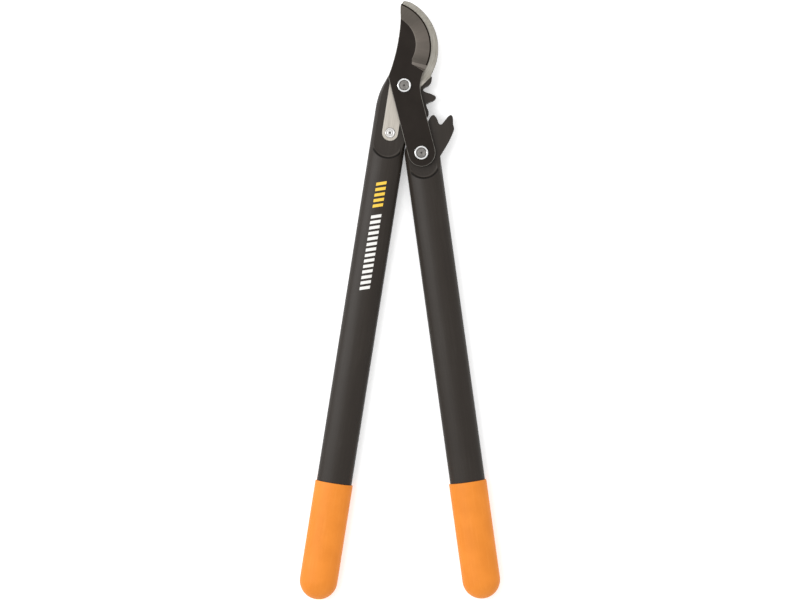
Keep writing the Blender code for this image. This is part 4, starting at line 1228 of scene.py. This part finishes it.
# %% Bars on a curved tube
def hatch_tree():
    """A row of thin slanting bars, lifted to an oval tube."""
    hatch = Tree("Hatch", {
        "Count": ("NodeSocketInt", 4),
        "Pitch": ("NodeSocketFloat", 7.0 * MM),
        "Bar Width": ("NodeSocketFloat", 4.0 * MM),
        "Bar Length": ("NodeSocketFloat", 12.0 * MM),
        "Slant": ("NodeSocketFloat", 0.35),
        "Half Width": ("NodeSocketFloat", 20.0 * MM),
        "Half Depth": ("NodeSocketFloat", 12.0 * MM),
        "Ink": ("NodeSocketFloat", 0.06 * MM),
        "Centre": ("NodeSocketVector", None),
        "Turn": ("NodeSocketVector", None),
        "Material": ("NodeSocketMaterial", None),
    })
    given = hatch.given
    size = hatch.node("ShaderNodeCombineXYZ", None,
                      {0: given["Bar Length"], 1: given["Bar Width"], 2: given["Ink"]})
    # seventeen points across are enough for a bar to follow the oval
    bar = hatch.node("GeometryNodeMeshCube", None,
                     {"Size": size, "Vertices X": 17, "Vertices Y": 3, "Vertices Z": 2})
    offset = hatch.node("ShaderNodeCombineXYZ", None, {1: given["Pitch"]})
    row = hatch.node("GeometryNodeMeshLine", None, {"Count": given["Count"], "Offset": offset})
    bars = hatch.node("GeometryNodeInstanceOnPoints", None, {"Points": row, "Instance": bar})
    loose = hatch.node("GeometryNodeRealizeInstances", None, {"Geometry": bars})
    place = hatch.node("ShaderNodeSeparateXYZ", None,
                       {0: hatch.node("GeometryNodeInputPosition")}).node.outputs
    share = hatch.math("DIVIDE", place["X"], given["Half Width"])
    arch = hatch.math("SQRT", hatch.math("SUBTRACT", 1.0, hatch.math("MULTIPLY", share, share)))
    lift = hatch.math("MULTIPLY", arch, given["Half Depth"])
    shear = hatch.math("MULTIPLY", place["X"], given["Slant"])
    move = hatch.node("ShaderNodeCombineXYZ", None, {1: shear, 2: lift})
    curved = hatch.node("GeometryNodeSetPosition", None, {"Geometry": loose, "Offset": move})
    placed = hatch.node("GeometryNodeTransform", None,
                        {"Geometry": curved, "Translation": given["Centre"],
                         "Rotation": given["Turn"]})
    return hatch.finish(placed)


hatch = hatch_tree()
print("hatch tree with", len(hatch.nodes), "nodes")

# %% [markdown]
# The ink is matt and opaque, but never quite even. Where it is thin, the nylon darkens it.

# %% Printing ink
def printing_ink(name, colour, thin):
    """Matt ink, a little thinner here and there so that the nylon darkens it."""
    ink = Finish(name, Specular_IOR_Level=0.35)
    cloud = ink.noise(ink.place, 3.0 * MM, 3.0)
    speck = ink.noise(ink.place, 0.5 * MM, 2.0).between(0.66, 0.78)
    mixed = ink.mix(cloud.between(0.4, 0.8) * 0.25 + speck * 0.5, colour, thin)
    return ink.surface(mixed, 0.5 + cloud * 0.1, bumps=[(cloud, 0.01 * MM)])


yellow_ink = printing_ink("yellow_ink", (0.86, 0.56, 0.06, 1.0), (0.45, 0.29, 0.05, 1.0))
white_ink = printing_ink("white_ink", (0.82, 0.81, 0.78, 1.0), (0.42, 0.41, 0.39, 1.0))
print("inks:", yellow_ink.name, white_ink.name)

# %% [markdown]
# Both rows keep one pitch, and one place is left free between them. They are laid on the left
# tube, whose oval is that of the grip without the wall by which the grip stands proud.

# %% Yellow bars, then white ones
PRINT_START = 115.4 * MM
PRINT_PITCH = 6.4 * MM
BAR_WIDTH = 3.6 * MM
BAR_LENGTH = 11.5 * MM
BAR_SLANT = 0.32
INK_DEPTH = 0.1 * MM
GRIP_PROUD = 1.5 * MM
ROWS = [("yellow_hatch", 0, 5, yellow_ink), ("white_hatch", 6, 14, white_ink)]

rim, direction, length, half_width, half_depth = lines["left"]
start = pivot_a.dot(direction) + PRINT_START
for name, first, count, ink in ROWS:
    piece = add_piece(name, bpy.data.meshes.new(name))
    along = start + first * PRINT_PITCH - rim.dot(direction)
    set_inputs(piece, hatch, {
        "Count": count, "Pitch": PRINT_PITCH, "Bar Width": BAR_WIDTH, "Bar Length": BAR_LENGTH,
        "Slant": BAR_SLANT, "Half Width": half_width - GRIP_PROUD,
        "Half Depth": half_depth - GRIP_PROUD, "Ink": INK_DEPTH,
        "Centre": tuple(rim + direction * along), "Turn": (0.0, 0.0, angle_of(direction)),
        "Material": ink})
    plain_mesh(piece)
    print(name, len(piece.data.polygons), "faces")
    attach(piece, "left_handle")

# %% [markdown]
# ## The studio
#
# The tool lies on white paper and is seen from straight above. The sky of the room is an even
# white, which is what a light tent gives. One large soft lamp hangs high on the left, so that the
# left side of each tube is lighter than the right. A weaker one beyond the blade lights whatever
# curves up towards it. The paper glows faintly, as if it were lit from below too, and that keeps
# the shadows light.

# %% Paper, lamp and sky
FLOOR_REACH = 20.0
FLOOR_GAP = 0.2 * MM


def add_floor(glow):
    """White paper just under the tool."""
    paper = Finish("white_paper", Specular_IOR_Level=0.2, Emission_Color=(1.0, 1.0, 1.0, 1.0),
                   Emission_Strength=glow)
    tone = paper.noise(paper.place, 0.6)
    paper.surface(paper.mix(tone, grey(0.9), grey(0.93)), 0.75 + tone * 0.1)
    mesh = bpy.data.meshes.new("floor")
    sides = ((-1, -1), (1, -1), (1, 1), (-1, 1))
    corners = [(x * FLOOR_REACH, y * FLOOR_REACH, 0.0) for x, y in sides]
    mesh.from_pydata(corners, [], [(0, 1, 2, 3)])
    mesh.materials.append(paper.material)
    floor = add_piece("floor", mesh)
    floor.location.z = -FLOOR_GAP


def add_lamp(name, place, size, power):
    """A soft lamp that looks at the origin."""
    light = bpy.data.lights.new(name, "AREA")
    light.shape = "RECTANGLE"
    light.size, light.size_y = size
    light.energy = power
    lamp = add_piece(name, light)
    lamp.location = place
    lamp.rotation_mode = "QUATERNION"
    lamp.rotation_quaternion = (-Vector(place)).to_track_quat("-Z", "Y")
    lamp.visible_camera = False


def add_sky(strength):
    """An even white room."""
    world = bpy.data.worlds.new("studio")
    world.use_nodes = True
    sky = world.node_tree.nodes["Background"].inputs
    sky["Color"].default_value = (1.0, 1.0, 1.0, 1.0)
    sky["Strength"].default_value = strength
    bpy.context.scene.world = world


print("paper, lamp and sky ready")

# %% [markdown]
# The sky does most of the work, so that every side gets light. The lamps only add a direction.
# The Standard view transform leaves white paper white.

# %% Light the studio
PAPER_GLOW = 0.35
SKY_STRENGTH = 0.82
KEY_WATTS = 33.0
BACK_WATTS = 9.0

add_floor(PAPER_GLOW)
add_sky(SKY_STRENGTH)
add_lamp("key", (-1.6, 0.4, 1.9), (0.8, 2.4), KEY_WATTS)
add_lamp("back", (0.0, 2.0, 1.7), (1.4, 0.5), BACK_WATTS)
bpy.context.scene.view_settings.view_transform = "Standard"
print("studio with", len(bpy.data.lights), "lamps")

# %% [markdown]
# A short lens would make the near surfaces spread, so the lens is long. The camera hangs over a
# point below pivot A, and its height follows from how wide a strip it should see at the level of
# the tubes' centre lines.

# %% The camera
SEEN_WIDTH = 924.8 * MM
BELOW_PIVOT = Vector((-4.8 * MM, -246.8 * MM, 0.0))

camera = bpy.data.cameras.new("camera")
camera.lens = 100.0
camera.sensor_width = 36.0
camera.dof.use_dof = False
viewer = add_piece("camera", camera)
viewer.location = pivot_a + BELOW_PIVOT
viewer.location.z += SEEN_WIDTH * camera.lens / camera.sensor_width
bpy.context.scene.camera = viewer
print("camera at", [round(v, 3) for v in viewer.location])
